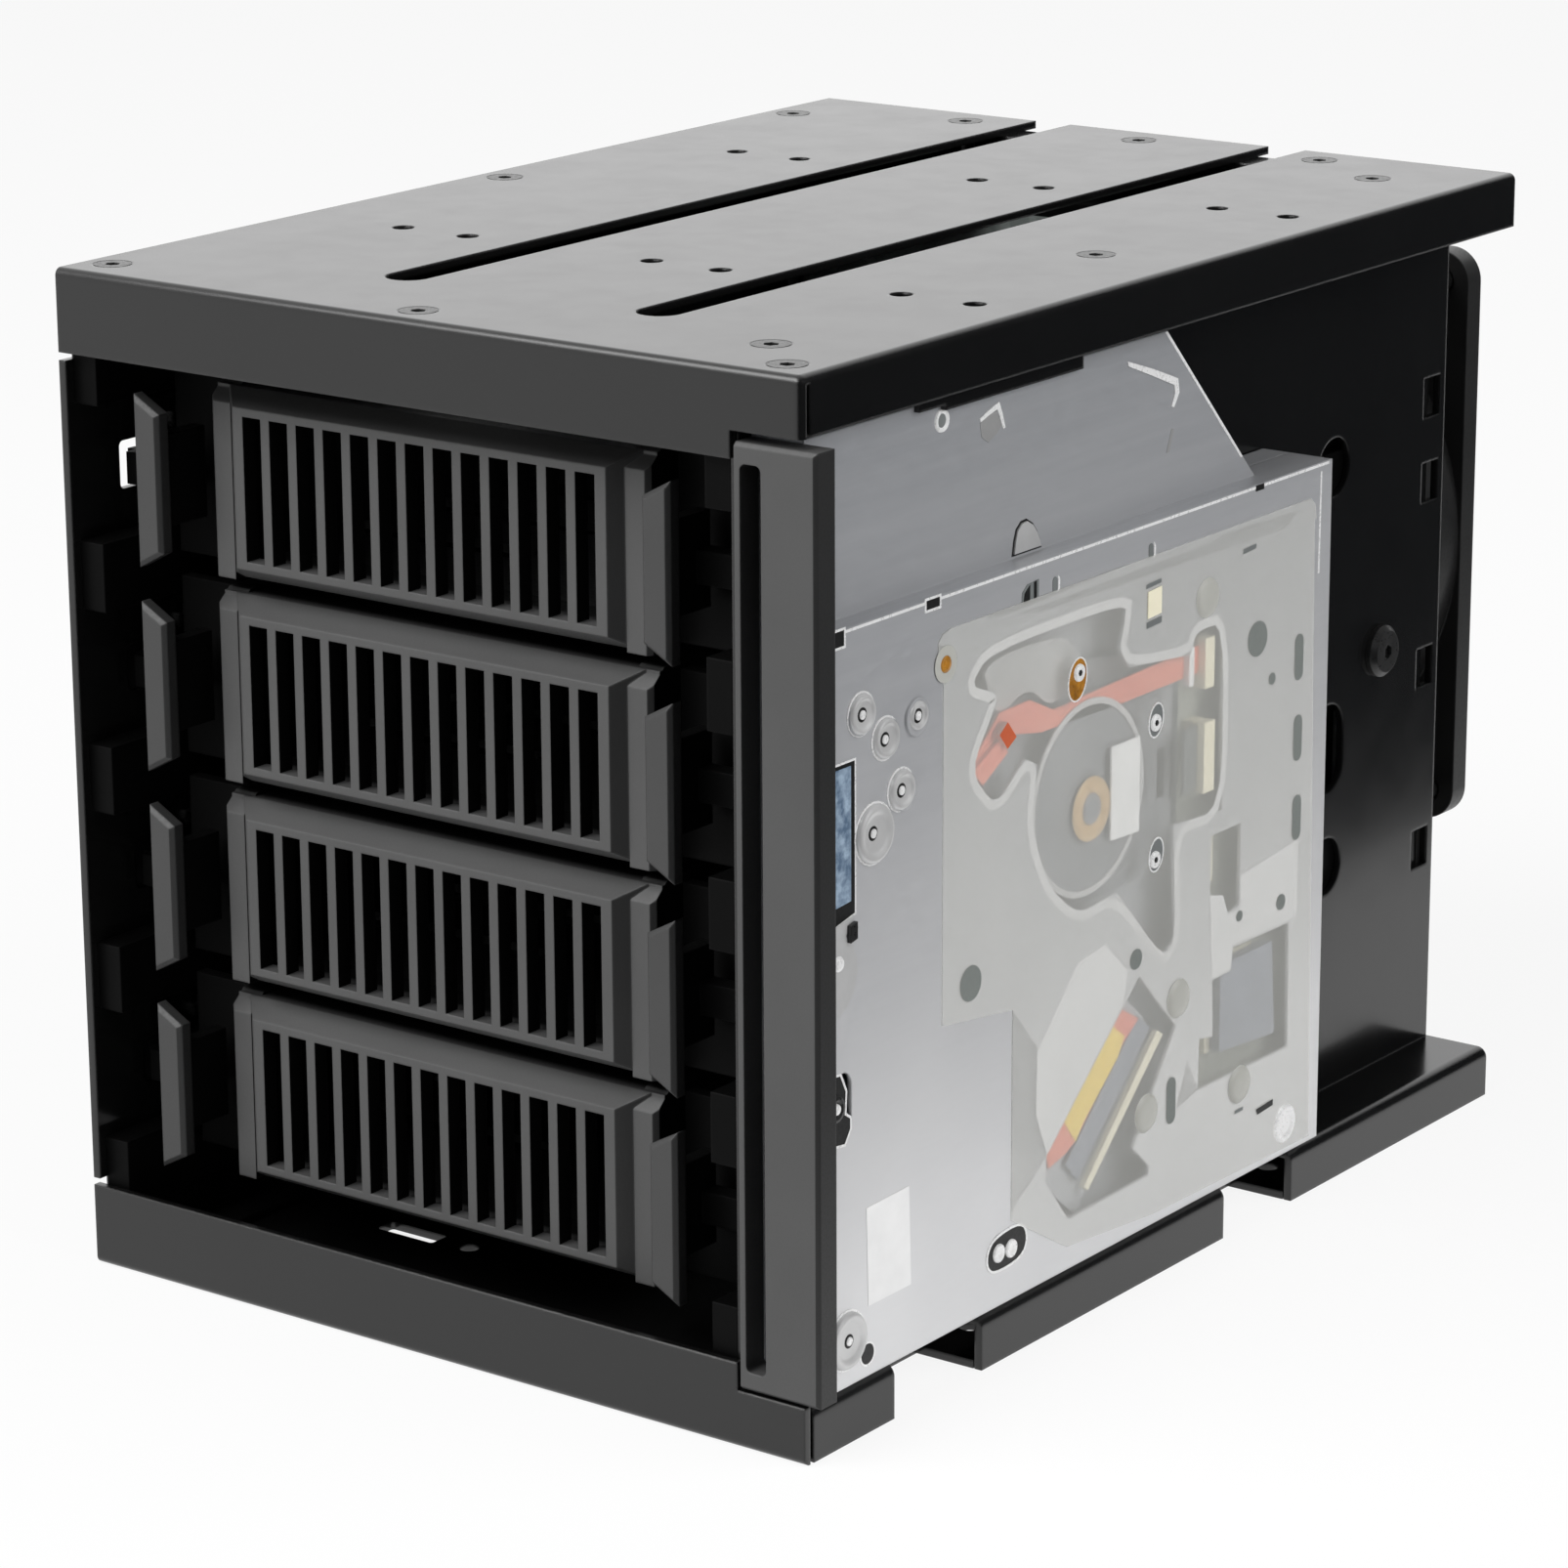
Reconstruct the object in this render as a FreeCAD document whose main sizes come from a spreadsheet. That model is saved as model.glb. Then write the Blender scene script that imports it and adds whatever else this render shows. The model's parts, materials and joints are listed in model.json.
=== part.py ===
import FreeCAD, Part
import math
import os

import Sketcher
from FreeCAD import Placement, Rotation, Vector

# Hot swap drive cage: four sprung-latch drive trays and a slim slot-loading optical drive in a
# bent-sheet cage three 5.25 inch bays wide, with a backplane and a 92 mm fan at the rear.
# +Z is up, the tray fronts face -Y and +X is to the viewer's right.  Lengths are millimetres.
# Coordinates below are measured from the cage: x from its middle, y from the front of its
# flanges and z from its underside; place() then moves them to the middle of the whole footprint.

doc = FreeCAD.newDocument("drive_cage")
sheet = doc.addObject("Spreadsheet::Sheet", "Sizes")

SIZES = {
    # cage sheets
    "cage_width": 127.0, "cage_height": 146.0, "cage_depth": 181.0, "gauge": 1.2, "bend": 1.1,
    "front_flange": 11.8, "low_flange": 8.1, "front_lip": 12.1, "low_lip": 8.2,
    "flange_step": 52.4, "side_flange": 8.0, "slit": 0.8, "shelf_height": 7.7,
    "wall_face": 52.6, "wall_start": 1.6, "wall_end": 170.0, "foot_width": 9.5,
    # openings and holes of the top and bottom sheets
    "band_gap_width": 6.6, "band_gap_start": 20.0, "low_gap_start": 40.0, "band_gap_left": -19.6,
    "band_gap_right": 23.6,
    "bay_hole_radius": 1.6, "bay_hole_pair": 11.9, "bay_hole_row": 79.25, "bay_hole_start": 51.0,
    "screw_radius": 1.5, "screw_hole": 1.7, "screw_fit": 0.05, "screw_length": 5.0,
    "screw_crown": 1.6,
    # tray bays
    "bay_pitch": 29.4, "bay_middle": -5.5, "window_start": 10.0, "window_length": 7.0,
    "window_height": 6.9, "rail_height": 9.8, "rail_depth": 4.2, "rail_start": 1.6,
    "rail_end": 165.0, "strut": 1.0,
    # tray sled
    "sled_side": 52.15, "sled_gauge": 1.2, "sled_base": -13.4, "sled_start": 17.0,
    "sled_end": 160.0, "sled_top": 9.4, "ridge_reach": 55.4, "ridge_height": 1.4,
    "ear_reach": 56.2, "ear_height": 1.5, "ear_level": 5.1, "vent_width": 6.0, "vent_pitch": 17.0,
    # tray bezel
    "grille_front": 6.9, "grille_half": 32.4, "grille_rise": 11.35, "block_front": 10.5,
    "block_half": 36.0, "block_rise": 13.5, "bezel_back": 17.0, "grille_thick": 2.6,
    "slot_pitch": 4.83, "slot_width": 3.25, "slot_rise": 10.2,
    "column_inner": 34.3, "column_outer": 38.2, "column_front": 8.6, "column_rise": 11.3,
    "wing_reach": 50.4, "wing_thick": 2.0,
    # tray latches
    "pivot_reach": 54.3, "pivot_depth": 24.0, "pin_radius": 1.0, "pin_fit": 0.05,
    "barrel": 1.9, "barrel_rise": 4.6, "spring_radius": 1.9, "paddle_front": 1.9,
    "paddle_thick": 2.3, "paddle_outer": 46.5, "paddle_inner": 41.9, "paddle_rise": 12.3,
    "paddle_low_rise": 9.8, "hook_reach": 56.5, "hook_rise": 2.3,
    # backplane and rear sheet
    "board_front": 169.0, "board_gauge": 1.6, "board_left": -60.0, "board_right": 49.0,
    "board_low": 9.0, "board_high": 133.0, "socket_depth": 7.5, "rear_face": 176.8,
    "fan_size": 92.0, "fan_depth": 25.0, "fan_middle_z": 83.3, "fan_bore": 43.5,
    "fan_holes": 82.5, "fan_hub": 19.0, "fan_blade_tip": 42.3, "fan_flange": 4.0,
    "shaft_radius": 1.5, "shaft_fit": 0.05,
    # slim optical drive
    "drive_face": 64.6, "drive_inner": 52.9, "drive_start": 4.0, "drive_end": 127.5,
    "drive_low": 9.0, "drive_step": 112.3, "drive_high": 137.0, "wing_face": 61.0,
    "drive_split": 57.4, "drive_gauge": 0.6, "drive_bezel_right": 65.8, "drive_bezel_left": 53.0,
    "drive_bezel_low": 8.5, "drive_bezel_high": 136.5, "drive_bezel_depth": 4.0,
    "disc_slot_left": 53.9, "disc_slot_width": 3.3, "film_gauge": 0.15,
}


class Size:
    """A length with the sheet expression that drives it."""

    def __init__(self, number, text):
        self.number = float(number)
        self.text = text

    def __add__(self, other):
        return Size(self.number + float(other), f"({self.text} + {spelled(other)})")

    def __radd__(self, other):
        return self + other

    def __sub__(self, other):
        return Size(self.number - float(other), f"({self.text} - {spelled(other)})")

    def __rsub__(self, other):
        return -self + other

    def __mul__(self, factor):
        return Size(self.number * float(factor), f"({self.text} * {spelled(factor)})")

    __rmul__ = __mul__

    def __truediv__(self, divisor):
        return Size(self.number / float(divisor), f"({self.text} / {spelled(divisor)})")

    def __neg__(self):
        return Size(-self.number, f"(-1 * {self.text})")

    def __float__(self):
        return self.number


def spelled(length):
    """The text of a Size, or of a plain number."""
    return length.text if isinstance(length, Size) else repr(float(length))


def bind(thing, path, length):
    """Give a property its number, and the expression when a Size drives it."""
    if isinstance(length, Size):
        thing.setExpression(path, length.text)


class Sheet:
    """The driving dimensions, one attribute for each cell."""


d = Sheet()
for row, (alias, number) in enumerate(SIZES.items(), start=1):
    sheet.set(f"A{row}", alias)
    sheet.set(f"B{row}", str(number))
    sheet.setAlias(f"B{row}", alias)
    setattr(d, alias, Size(number, f"Sizes.{alias}"))
doc.recompute()

SUBPARTS = []
half_width = d.cage_width / 2
shift_x = (d.drive_bezel_right - half_width) / 2
shift_y = (d.rear_face + d.gauge + d.fan_depth + d.screw_crown) / 2
plate_under = d.cage_height - d.gauge
flange_level = d.cage_height - d.front_flange
bay_levels = [d.cage_height / 2 + d.bay_pitch * (1.5 - bay) for bay in range(4)]
rail_levels = [d.cage_height / 2 + d.bay_pitch * (2 - rail) for rail in range(5)]
window_drop = 0.6            # the latch windows sit a little below each tray's middle


# --- helpers ---------------------------------------------------------------------------------

def place(thing, x=0.0, y=0.0, z=0.0):
    """Stand a sub-part at cage coordinates x, y, z, seen from the middle of the footprint."""
    spot = (x - shift_x, y - shift_y, z)
    thing.Placement.Base = Vector(*[float(length) for length in spot])
    for axis, length in zip("xyz", spot):
        if not thing.isDerivedFrom("PartDesign::Body") and thing.TypeId == "Part::Feature":
            continue
        bind(thing, f"Placement.Base.{axis}", length)


def new_body(label, x=0.0, y=0.0, z=0.0):
    """An empty PartDesign body that becomes the sub-part called label."""
    body = doc.addObject("PartDesign::Body", label)
    body.Label = label
    place(body, x, y, z)
    SUBPARTS.append(body)
    return body


def new_sketch(body, name, plane, level=0.0):
    """A sketch on one of the body's own planes, moved to a level along that plane's axis."""
    sketch = body.newObject("Sketcher::SketchObject", name)
    role = {"XY": "XY_Plane", "XZ": "XZ_Plane", "YZ": "YZ_Plane"}[plane]
    support = next(item for item in body.Origin.OriginFeatures if item.Role == role)
    sketch.AttachmentSupport = (support, [""])
    sketch.MapMode = "FlatFace"
    offset = -level if plane == "XZ" else level
    sketch.AttachmentOffset = Placement(Vector(0, 0, float(offset)), Rotation())
    bind(sketch, "AttachmentOffset.Base.z", offset)
    return sketch


def fix_point(sketch, geometry, end, across, up):
    """Hold one end of a line or an arc's centre at its place."""
    for kind, length in (("DistanceX", across), ("DistanceY", up)):
        index = sketch.addConstraint(Sketcher.Constraint(kind, -1, 1, geometry, end, float(length)))
        bind(sketch, f"Constraints[{index}]", length)


def polygon(*points):
    """Closed outline through points, each (across, up)."""
    def draw(sketch):
        spots = [Vector(float(across), float(up), 0) for across, up in points]
        first = sketch.GeometryCount
        count = len(spots)
        for index, spot in enumerate(spots):
            sketch.addGeometry(Part.LineSegment(spot, spots[(index + 1) % count]), False)
        for index, (across, up) in enumerate(points):
            following = first + (index + 1) % count
            sketch.addConstraint(Sketcher.Constraint("Coincident", first + index, 2, following, 1))
            fix_point(sketch, first + index, 1, across, up)
    return draw


def rectangle(left, low, right, high):
    return polygon((left, low), (right, low), (right, high), (left, high))


def circle(across, up, radius):
    """Round outline about (across, up)."""
    def draw(sketch):
        middle = Vector(float(across), float(up), 0)
        index = sketch.addGeometry(Part.Circle(middle, Vector(0, 0, 1), float(radius)), False)
        fix_point(sketch, index, 3, across, up)
        size = sketch.addConstraint(Sketcher.Constraint("Radius", index, float(radius)))
        bind(sketch, f"Constraints[{size}]", radius)
    return draw


def rounded(left, low, right, high, radius):
    """Rectangle whose four corners are arcs of one radius."""
    def draw(sketch):
        x0, y0, x1, y1, r = [float(length) for length in (left, low, right, high, radius)]
        corners = [(x1 - r, y0 + r, -90), (x1 - r, y1 - r, 0), (x0 + r, y1 - r, 90), (x0 + r, y0 + r, 180)]
        arcs = []
        for across, up, start in corners:
            ring = Part.Circle(Vector(across, up, 0), Vector(0, 0, 1), r)
            turn = (math.radians(start), math.radians(start + 90))
            arcs.append(sketch.addGeometry(Part.ArcOfCircle(ring, *turn), False))
        ends = [((x0 + r, y0), (x1 - r, y0)), ((x1, y0 + r), (x1, y1 - r)),
                ((x1 - r, y1), (x0 + r, y1)), ((x0, y1 - r), (x0, y0 + r))]
        sides = [sketch.addGeometry(Part.LineSegment(Vector(*a, 0), Vector(*b, 0)), False) for a, b in ends]
        for index in range(4):
            sketch.addConstraint(Sketcher.Constraint("Tangent", sides[index], 2, arcs[index], 1))
            sketch.addConstraint(Sketcher.Constraint("Tangent", arcs[index], 2, sides[(index + 1) % 4], 1))
        sketch.addConstraint(Sketcher.Constraint("Horizontal", sides[0]))
        sketch.addConstraint(Sketcher.Constraint("Vertical", sides[1]))
        for arc in arcs[1:]:
            sketch.addConstraint(Sketcher.Constraint("Equal", arcs[0], arc))
        held = [("Radius", (arcs[0],), radius), ("DistanceX", (-1, 1, sides[3], 1), left),
                ("DistanceX", (-1, 1, sides[1], 1), right), ("DistanceY", (-1, 1, sides[0], 1), low),
                ("DistanceY", (-1, 1, sides[2], 1), high)]
        for kind, ends_held, length in held:
            index = sketch.addConstraint(Sketcher.Constraint(kind, *ends_held, float(length)))
            bind(sketch, f"Constraints[{index}]", length)
    return draw


def extrude(body, kind, name, plane, start, length, outlines):
    sketch = new_sketch(body, name + "_sketch", plane, start)
    for draw in outlines:
        draw(sketch)
    feature = body.newObject("PartDesign::" + kind, name)
    feature.Profile = sketch
    feature.Length = float(length)
    bind(feature, "Length", length)
    feature.Reversed = (plane == "XZ") if kind == "Pad" else (plane != "XZ")
    return feature


def pad(body, name, plane, start, length, *outlines):
    """Add material from start, running length along the plane's axis."""
    return extrude(body, "Pad", name, plane, start, length, outlines)


def cut(body, name, plane, start, length, *outlines):
    """Take material away from start, running length along the plane's axis."""
    before = volume_of(body)
    feature = extrude(body, "Pocket", name, plane, start, length, outlines)
    if volume_of(body) > before - 1e-3:
        raise RuntimeError(f"{name} of {body.Label} cuts nothing")
    return feature


def volume_of(body):
    doc.recompute()
    return body.Shape.Volume


def dress(body, kind, name, size, chosen):
    """Round or chamfer the edges that chosen() picks from the body as it stands."""
    doc.recompute()
    base = body.Tip
    picked = [f"Edge{index}" for index, edge in enumerate(base.Shape.Edges, 1) if chosen(edge)]
    if not picked:
        raise RuntimeError(f"{name} of {body.Label} finds no edge")
    feature = body.newObject("PartDesign::" + kind, name)
    feature.Base = (base, picked)
    if kind == "Fillet":
        feature.Radius = float(size)
        bind(feature, "Radius", size)
    else:
        feature.Size = float(size)
        bind(feature, "Size", size)
    return feature


def near(value, target, slack=0.02):
    return abs(value - float(target)) < slack


def curve_of(edge):
    """The edge's curve, or nothing for a seam that has none."""
    try:
        return edge.Curve
    except TypeError:
        return None


def runs_along(edge, axis):
    """Whether a straight edge is parallel to the axis."""
    curve = curve_of(edge)
    return isinstance(curve, Part.Line) and abs(getattr(curve.Direction, axis)) > 0.999


def line_at(axis, **where):
    """Chooser of the straight edges along axis that lie where the keywords say."""
    def chosen(edge):
        middle = edge.BoundBox.Center
        return runs_along(edge, axis) and all(near(getattr(middle, k), v) for k, v in where.items())
    return chosen


def rim_at(level, *radii):
    """Chooser of round rims of the given radii at height level."""
    def chosen(edge):
        curve = curve_of(edge)
        if not isinstance(curve, Part.Circle) or not near(edge.BoundBox.Center.z, level):
            return False
        return any(near(curve.Radius, radius) for radius in radii)
    return chosen


def repeat(body, name, originals, sketch, axis, length, count):
    """Repeat features along a sketch axis; the pattern becomes the body's tip."""
    pattern = body.newObject("PartDesign::LinearPattern", name)
    pattern.Originals = originals
    pattern.Direction = (sketch, [axis])
    pattern.Length = float(length)
    bind(pattern, "Length", length)
    pattern.Occurrences = count
    body.Tip = pattern
    return pattern


def mirror(body, name, originals):
    """Repeat features on the other side of the body's YZ plane."""
    doc.recompute()
    feature = body.newObject("PartDesign::Mirrored", name)
    feature.Originals = originals
    side = next(item for item in body.Origin.OriginFeatures if item.Role == "YZ_Plane")
    feature.MirrorPlane = (side, [""])
    body.Tip = feature
    return feature


def add_shape(label, shape, x=0.0, y=0.0, z=0.0):
    """A sub-part made with Part's own functions, from sizes read off the sheet."""
    thing = doc.addObject("Part::Feature", label)
    thing.Label = label
    thing.Shape = shape
    place(thing, x, y, z)
    SUBPARTS.append(thing)
    return thing


def rod(radius, length, x, y, z, direction=Vector(0, 0, 1)):
    return Part.makeCylinder(float(radius), float(length), Vector(float(x), float(y), float(z)), direction)


def block(x0, y0, z0, x1, y1, z1):
    """Plain box between two corners."""
    low = Vector(float(x0), float(y0), float(z0))
    return Part.makeBox(float(x1) - low.x, float(y1) - low.y, float(z1) - low.z, low)


# --- top and bottom sheets -------------------------------------------------------------------

BAND_MIDDLES = (-38.2, 6.6, 48.7)      # middle of each 5.25 inch bay's pair of holes
TOP_SCREWS = ((-59.0, 6.7), (-59.0, 92.0), (-59.0, 165.0),      # into the left wall's foot
              (48.2, 14.5), (48.2, 90.0), (48.2, 165.0),        # into the right wall's foot
              (-3.0, 5.5), (57.4, 5.5),                         # into the front bar
              (-32.0, 174.5), (0.7, 174.5), (33.3, 174.5))      # into the rear sheet
BOTTOM_SCREWS = tuple(spot for spot in TOP_SCREWS if spot[0] == -59.0 or spot[1] == 174.5) + (
    (48.2, 30.5), (48.2, 112.8))
SHELF_SPANS = ((2.0, 20.3), (41.0, 103.4), (122.3, 181.0))      # stretches of the optical shelf


def bay_holes():
    """The twelve threaded holes that line up with the slots of 5.25 inch bays."""
    holes = []
    for middle in BAND_MIDDLES:
        for side in (-0.5, 0.5):
            for row in (0, 1):
                across = d.bay_hole_pair * side + middle
                holes.append(circle(across, d.bay_hole_start + d.bay_hole_row * row, d.bay_hole_radius))
    return holes


def band_gaps(start):
    """The two long gaps that part a sheet into three bands, from start to its rear edge."""
    half = d.band_gap_width / 2
    gaps = (d.band_gap_left, d.band_gap_right)
    beyond = d.cage_depth + 20
    round_end = d.band_gap_width / 2.001
    return [rounded(gap - half, start, gap + half, beyond, round_end) for gap in gaps]


def top_sheet():
    body = new_body("top_plate")
    right_inner = half_width - d.gauge
    pad(body, "folded", "XY", flange_level, d.front_flange,
        rectangle(-half_width, 0, half_width, d.cage_depth))
    cut(body, "hollow", "XY", flange_level, d.front_flange - d.gauge,
        rectangle(-half_width - 5, d.gauge, right_inner, d.cage_depth + 5))
    cut(body, "side_trim", "XY", flange_level, d.front_flange - d.side_flange,
        rectangle(right_inner - 1, d.gauge, half_width + 1, d.cage_depth + 5))
    cut(body, "corner_slit", "XY", flange_level, d.front_flange - d.gauge,
        rectangle(right_inner - 1, d.gauge, half_width + 1, d.gauge + d.slit))
    cut(body, "drive_step", "XY", flange_level, d.front_flange - d.low_flange,
        rectangle(d.flange_step, -1, half_width + 1, d.gauge + 1))
    dress(body, "Fillet", "front_bend", d.bend, line_at("x", y=0, z=d.cage_height))
    dress(body, "Fillet", "side_bend", d.bend, line_at("y", x=half_width, z=d.cage_height))
    cut(body, "gaps", "XY", plate_under - 1, d.gauge + 2, *band_gaps(d.band_gap_start))
    cut(body, "bay_holes", "XY", plate_under - 1, d.gauge + 2, *bay_holes())
    cut(body, "screw_holes", "XY", plate_under - 1, d.gauge + 2,
        *[circle(x, y, d.screw_hole) for x, y in TOP_SCREWS])
    dress(body, "Chamfer", "sinks", d.gauge - 0.1, rim_at(d.cage_height, d.screw_hole))
    return body


def bottom_sheet():
    body = new_body("bottom_plate")
    edge = half_width - d.gauge - 0.2
    outline = [(-half_width, 0), (half_width, 0), (half_width, d.gauge), (edge, d.gauge)]
    for (_, gap_start), (gap_end, _) in zip(SHELF_SPANS, SHELF_SPANS[1:]):
        outline += [(edge, gap_start), (d.wall_face, gap_start), (d.wall_face, gap_end), (edge, gap_end)]
    outline += [(edge, d.cage_depth), (-half_width, d.cage_depth)]
    pad(body, "floor", "XY", 0, d.gauge, polygon(*outline))
    pad(body, "lip", "XZ", 0, d.gauge,
        polygon((-half_width, 0), (half_width, 0), (half_width, d.low_lip), (d.flange_step, d.low_lip),
                (d.flange_step, d.front_lip), (-half_width, d.front_lip)))
    dress(body, "Fillet", "front_bend", d.bend, line_at("x", y=0, z=0))
    cut(body, "gaps", "XY", -1, d.gauge + 2, *band_gaps(d.low_gap_start))
    cut(body, "bay_holes", "XY", -1, d.gauge + 2, *bay_holes())
    cut(body, "front_slot", "XY", -1, d.gauge + 2, rounded(-37.6, 31.9, -27.2, 35.4, 0.5),
        circle(-21.6, 33.7, 1.5))
    cut(body, "screw_holes", "XY", -1, d.gauge + 2,
        *[circle(x, y, d.screw_hole) for x, y in BOTTOM_SCREWS])
    dress(body, "Chamfer", "sinks", d.gauge - 0.1, rim_at(0, d.screw_hole))
    return body


# --- side walls, guides and front bar --------------------------------------------------------

def latch_windows():
    """The four windows that the tray latches spring into."""
    outlines = []
    for level in bay_levels:
        low = level - window_drop - d.window_height / 2
        end = d.window_start + d.window_length
        outlines.append(rounded(d.window_start, low, end, low + d.window_height, 0.8))
    return outlines


def threaded(body, level, spots):
    """Threaded holes that a foot at height level has for the cage screws."""
    cut(body, "threads", "XY", level, d.cage_height,
        *[circle(x, y, d.screw_radius + d.screw_fit) for x, y in spots])


def left_side():
    body = new_body("left_wall")
    outer = -half_width
    lap = 2.6                       # the wall stands level with the flanges, a small gap from them
    low, high = d.front_lip + 1.1, flange_level - 1.1
    pad(body, "wall", "YZ", outer, d.gauge,
        polygon((0, low), (lap, low), (lap, d.gauge), (d.cage_depth, d.gauge), (d.cage_depth, plate_under),
                (lap, plate_under), (lap, high), (0, high)))
    foot_end = outer + d.foot_width
    pad(body, "top_foot", "XY", plate_under - d.gauge, d.gauge,
        rectangle(outer, d.wall_start, foot_end, d.wall_end))
    pad(body, "bottom_foot", "XY", d.gauge, d.gauge, rectangle(outer, d.wall_start, foot_end, d.wall_end))
    cut(body, "latch_windows", "YZ", outer - 1, d.gauge + 2, *latch_windows())
    threaded(body, 0, [spot for spot in TOP_SCREWS if spot[0] == -59.0])
    return body


def right_side():
    body = new_body("right_wall")
    inner = d.wall_face - d.gauge
    pad(body, "wall", "YZ", inner, d.gauge,
        rectangle(d.wall_start, d.shelf_height - d.gauge, d.cage_depth, plate_under))
    pad(body, "top_foot", "XY", plate_under - d.gauge, d.gauge,
        rectangle(d.wall_face - d.foot_width, d.wall_start, d.wall_face, d.wall_end))
    for number, (start, end) in enumerate(SHELF_SPANS, 1):
        pad(body, f"shelf_{number}", "XZ", start, end - start,
            polygon((inner, d.shelf_height - d.gauge), (half_width - d.gauge, d.shelf_height - d.gauge),
                    (half_width - d.gauge, 0), (half_width, 0), (half_width, d.shelf_height),
                    (inner, d.shelf_height)))
    for number, ((_, start), (end, _)) in enumerate(zip(SHELF_SPANS, SHELF_SPANS[1:]), 1):
        tab = [rectangle(start + 0.4, d.gauge, end - 0.4, d.shelf_height)]
        pad(body, f"tab_{number}", "YZ", inner, d.gauge, *tab)
        pad(body, f"tab_foot_{number}", "XY", d.gauge, d.gauge,
            rectangle(d.wall_face - d.foot_width, start + 0.4, d.wall_face, end - 0.4))
    rests = [rectangle(54.5, start, 60.5, end) for start, end in ((6, 18), (46, 98))]
    pad(body, "drive_rests", "XY", d.shelf_height - 0.1, d.drive_low - d.shelf_height + 0.1, *rests)
    cut(body, "latch_windows", "YZ", inner - 1, d.gauge + 2, *latch_windows())
    rear_slots = [rectangle(174.6, level - 3.1, 179.4, level + 3.1) for level in (39.6, 68.8, 98.1, 111.3)]
    cut(body, "rear_slots", "YZ", inner - 1, d.gauge + 2, *rear_slots)
    cut(body, "cable_ports", "YZ", inner - 1, d.gauge + 2,
        rounded(144, 101, 153, 110, 4.4), rounded(144, 55, 153, 69, 4.4), rounded(144, 39, 153, 48, 4.4),
        rounded(108, 134.5, 152, 139.5, 2.4))
    cut(body, "side_screw_hole", "YZ", inner - 1, d.gauge + 2, circle(163, 74.4, 1.95))
    dress(body, "Fillet", "shelf_bend", d.bend + 0.5, line_at("y", x=half_width, z=d.shelf_height))
    threaded(body, d.shelf_height + 5, [spot for spot in TOP_SCREWS if spot[0] == 48.2])
    cut(body, "low_threads", "XY", 0, d.gauge * 3,
        *[circle(x, y, d.screw_radius + d.screw_fit) for x, y in BOTTOM_SCREWS if x == 48.2])
    return body


def guide(label, wall_plane, inward):
    """One wall's moulded guide: five rails joined by two struts, standing off wall_plane."""
    body = new_body(label)
    rails = []
    for level in rail_levels:
        low = level - d.rail_height / 2
        rails.append(rectangle(d.rail_start, low, d.rail_end, low + d.rail_height))
    start = wall_plane if inward > 0 else wall_plane - d.rail_depth
    pad(body, "rails", "YZ", start, d.rail_depth, *rails)
    strut_start = wall_plane if inward > 0 else wall_plane - d.strut
    struts = [rectangle(y, rail_levels[-1], y + 7, rail_levels[0]) for y in (60, 140)]
    pad(body, "struts", "YZ", strut_start, d.strut, *struts)
    return body


def front_bar():
    """Angle under the top sheet's front edge, which closes the front of the bays."""
    body = new_body("front_bar")
    high = plate_under
    pad(body, "angle", "YZ", -46, 88,
        polygon((d.gauge, high), (d.gauge, flange_level + 0.6), (d.gauge * 2, flange_level + 0.6),
                (d.gauge * 2, high - d.gauge), (9.5, high - d.gauge), (9.5, high)))
    threaded(body, high - d.gauge - 1, [(-3.0, 5.5)])
    return body


# --- rear sheet, backplane and fan -----------------------------------------------------------

PORT_ROW = 21.0                       # height of the row of ports under the fan
POWER_SPOTS = (-44.0, 28.2)
DATA_SPOTS = (-18.0, -8.0, 2.0, 12.0)
STANDOFFS = ((-54.0, 12.4), (42.0, 12.4), (-54.0, 130.1), (42.0, 130.1))


def rear_sheet():
    body = new_body("rear_panel")
    left, right = -half_width + d.gauge, d.wall_face - d.gauge
    low, high = d.gauge, plate_under
    pad(body, "panel", "XZ", d.rear_face, d.gauge, rectangle(left, low, right, high))
    for name, level in (("bottom_foot", low), ("top_foot", high - d.gauge)):
        pad(body, name, "XY", level, d.gauge, rectangle(left + 4, 171.4, right - 4, d.rear_face + d.gauge))
    cut(body, "fan_opening", "XZ", d.rear_face - 1, d.gauge + 2, circle(0, d.fan_middle_z, d.fan_bore))
    half = d.fan_holes / 2
    cut(body, "fan_holes", "XZ", d.rear_face - 1, d.gauge + 2,
        *[circle(half * a, d.fan_middle_z + half * b, 1.95) for a in (-1, 1) for b in (-1, 1)])
    cut(body, "port_openings", "XZ", d.rear_face - 1, d.gauge + 2,
        *[rectangle(x - 11, PORT_ROW - 6, x + 11, PORT_ROW + 6) for x in POWER_SPOTS],
        *[rectangle(x - 4.2, PORT_ROW - 8.3, x + 4.2, PORT_ROW + 8.3) for x in DATA_SPOTS])
    cut(body, "standoff_holes", "XZ", d.rear_face - 1, d.gauge + 2,
        *[circle(x, z, 1.6) for x, z in STANDOFFS])
    side_vents = [rounded(x, z, x + 4, z + 16, 1.9) for x in (-59, -53) for z in (40, 62, 84, 106)]
    cut(body, "side_vents", "XZ", d.rear_face - 1, d.gauge + 2, *side_vents)
    threaded(body, 0, [spot for spot in TOP_SCREWS if spot[1] == 174.5])
    return body


def backplane():
    body = new_body("backplane_board")
    pad(body, "board", "XZ", d.board_front, d.board_gauge,
        rectangle(d.board_left, d.board_low, d.board_right, d.board_high))
    vents = []
    for level in bay_levels[:-1]:
        base = level - d.bay_pitch / 2
        vents += [rounded(x, base - 6.5, x + 17, base + 6.5, 3) for x in (-52, -30, -8, 14)]
    cut(body, "air_vents", "XZ", d.board_front - 1, d.board_gauge + 2, *vents)
    cut(body, "standoff_holes", "XZ", d.board_front - 1, d.board_gauge + 2,
        *[circle(x, z, 1.6) for x, z in STANDOFFS])
    return body


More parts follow.
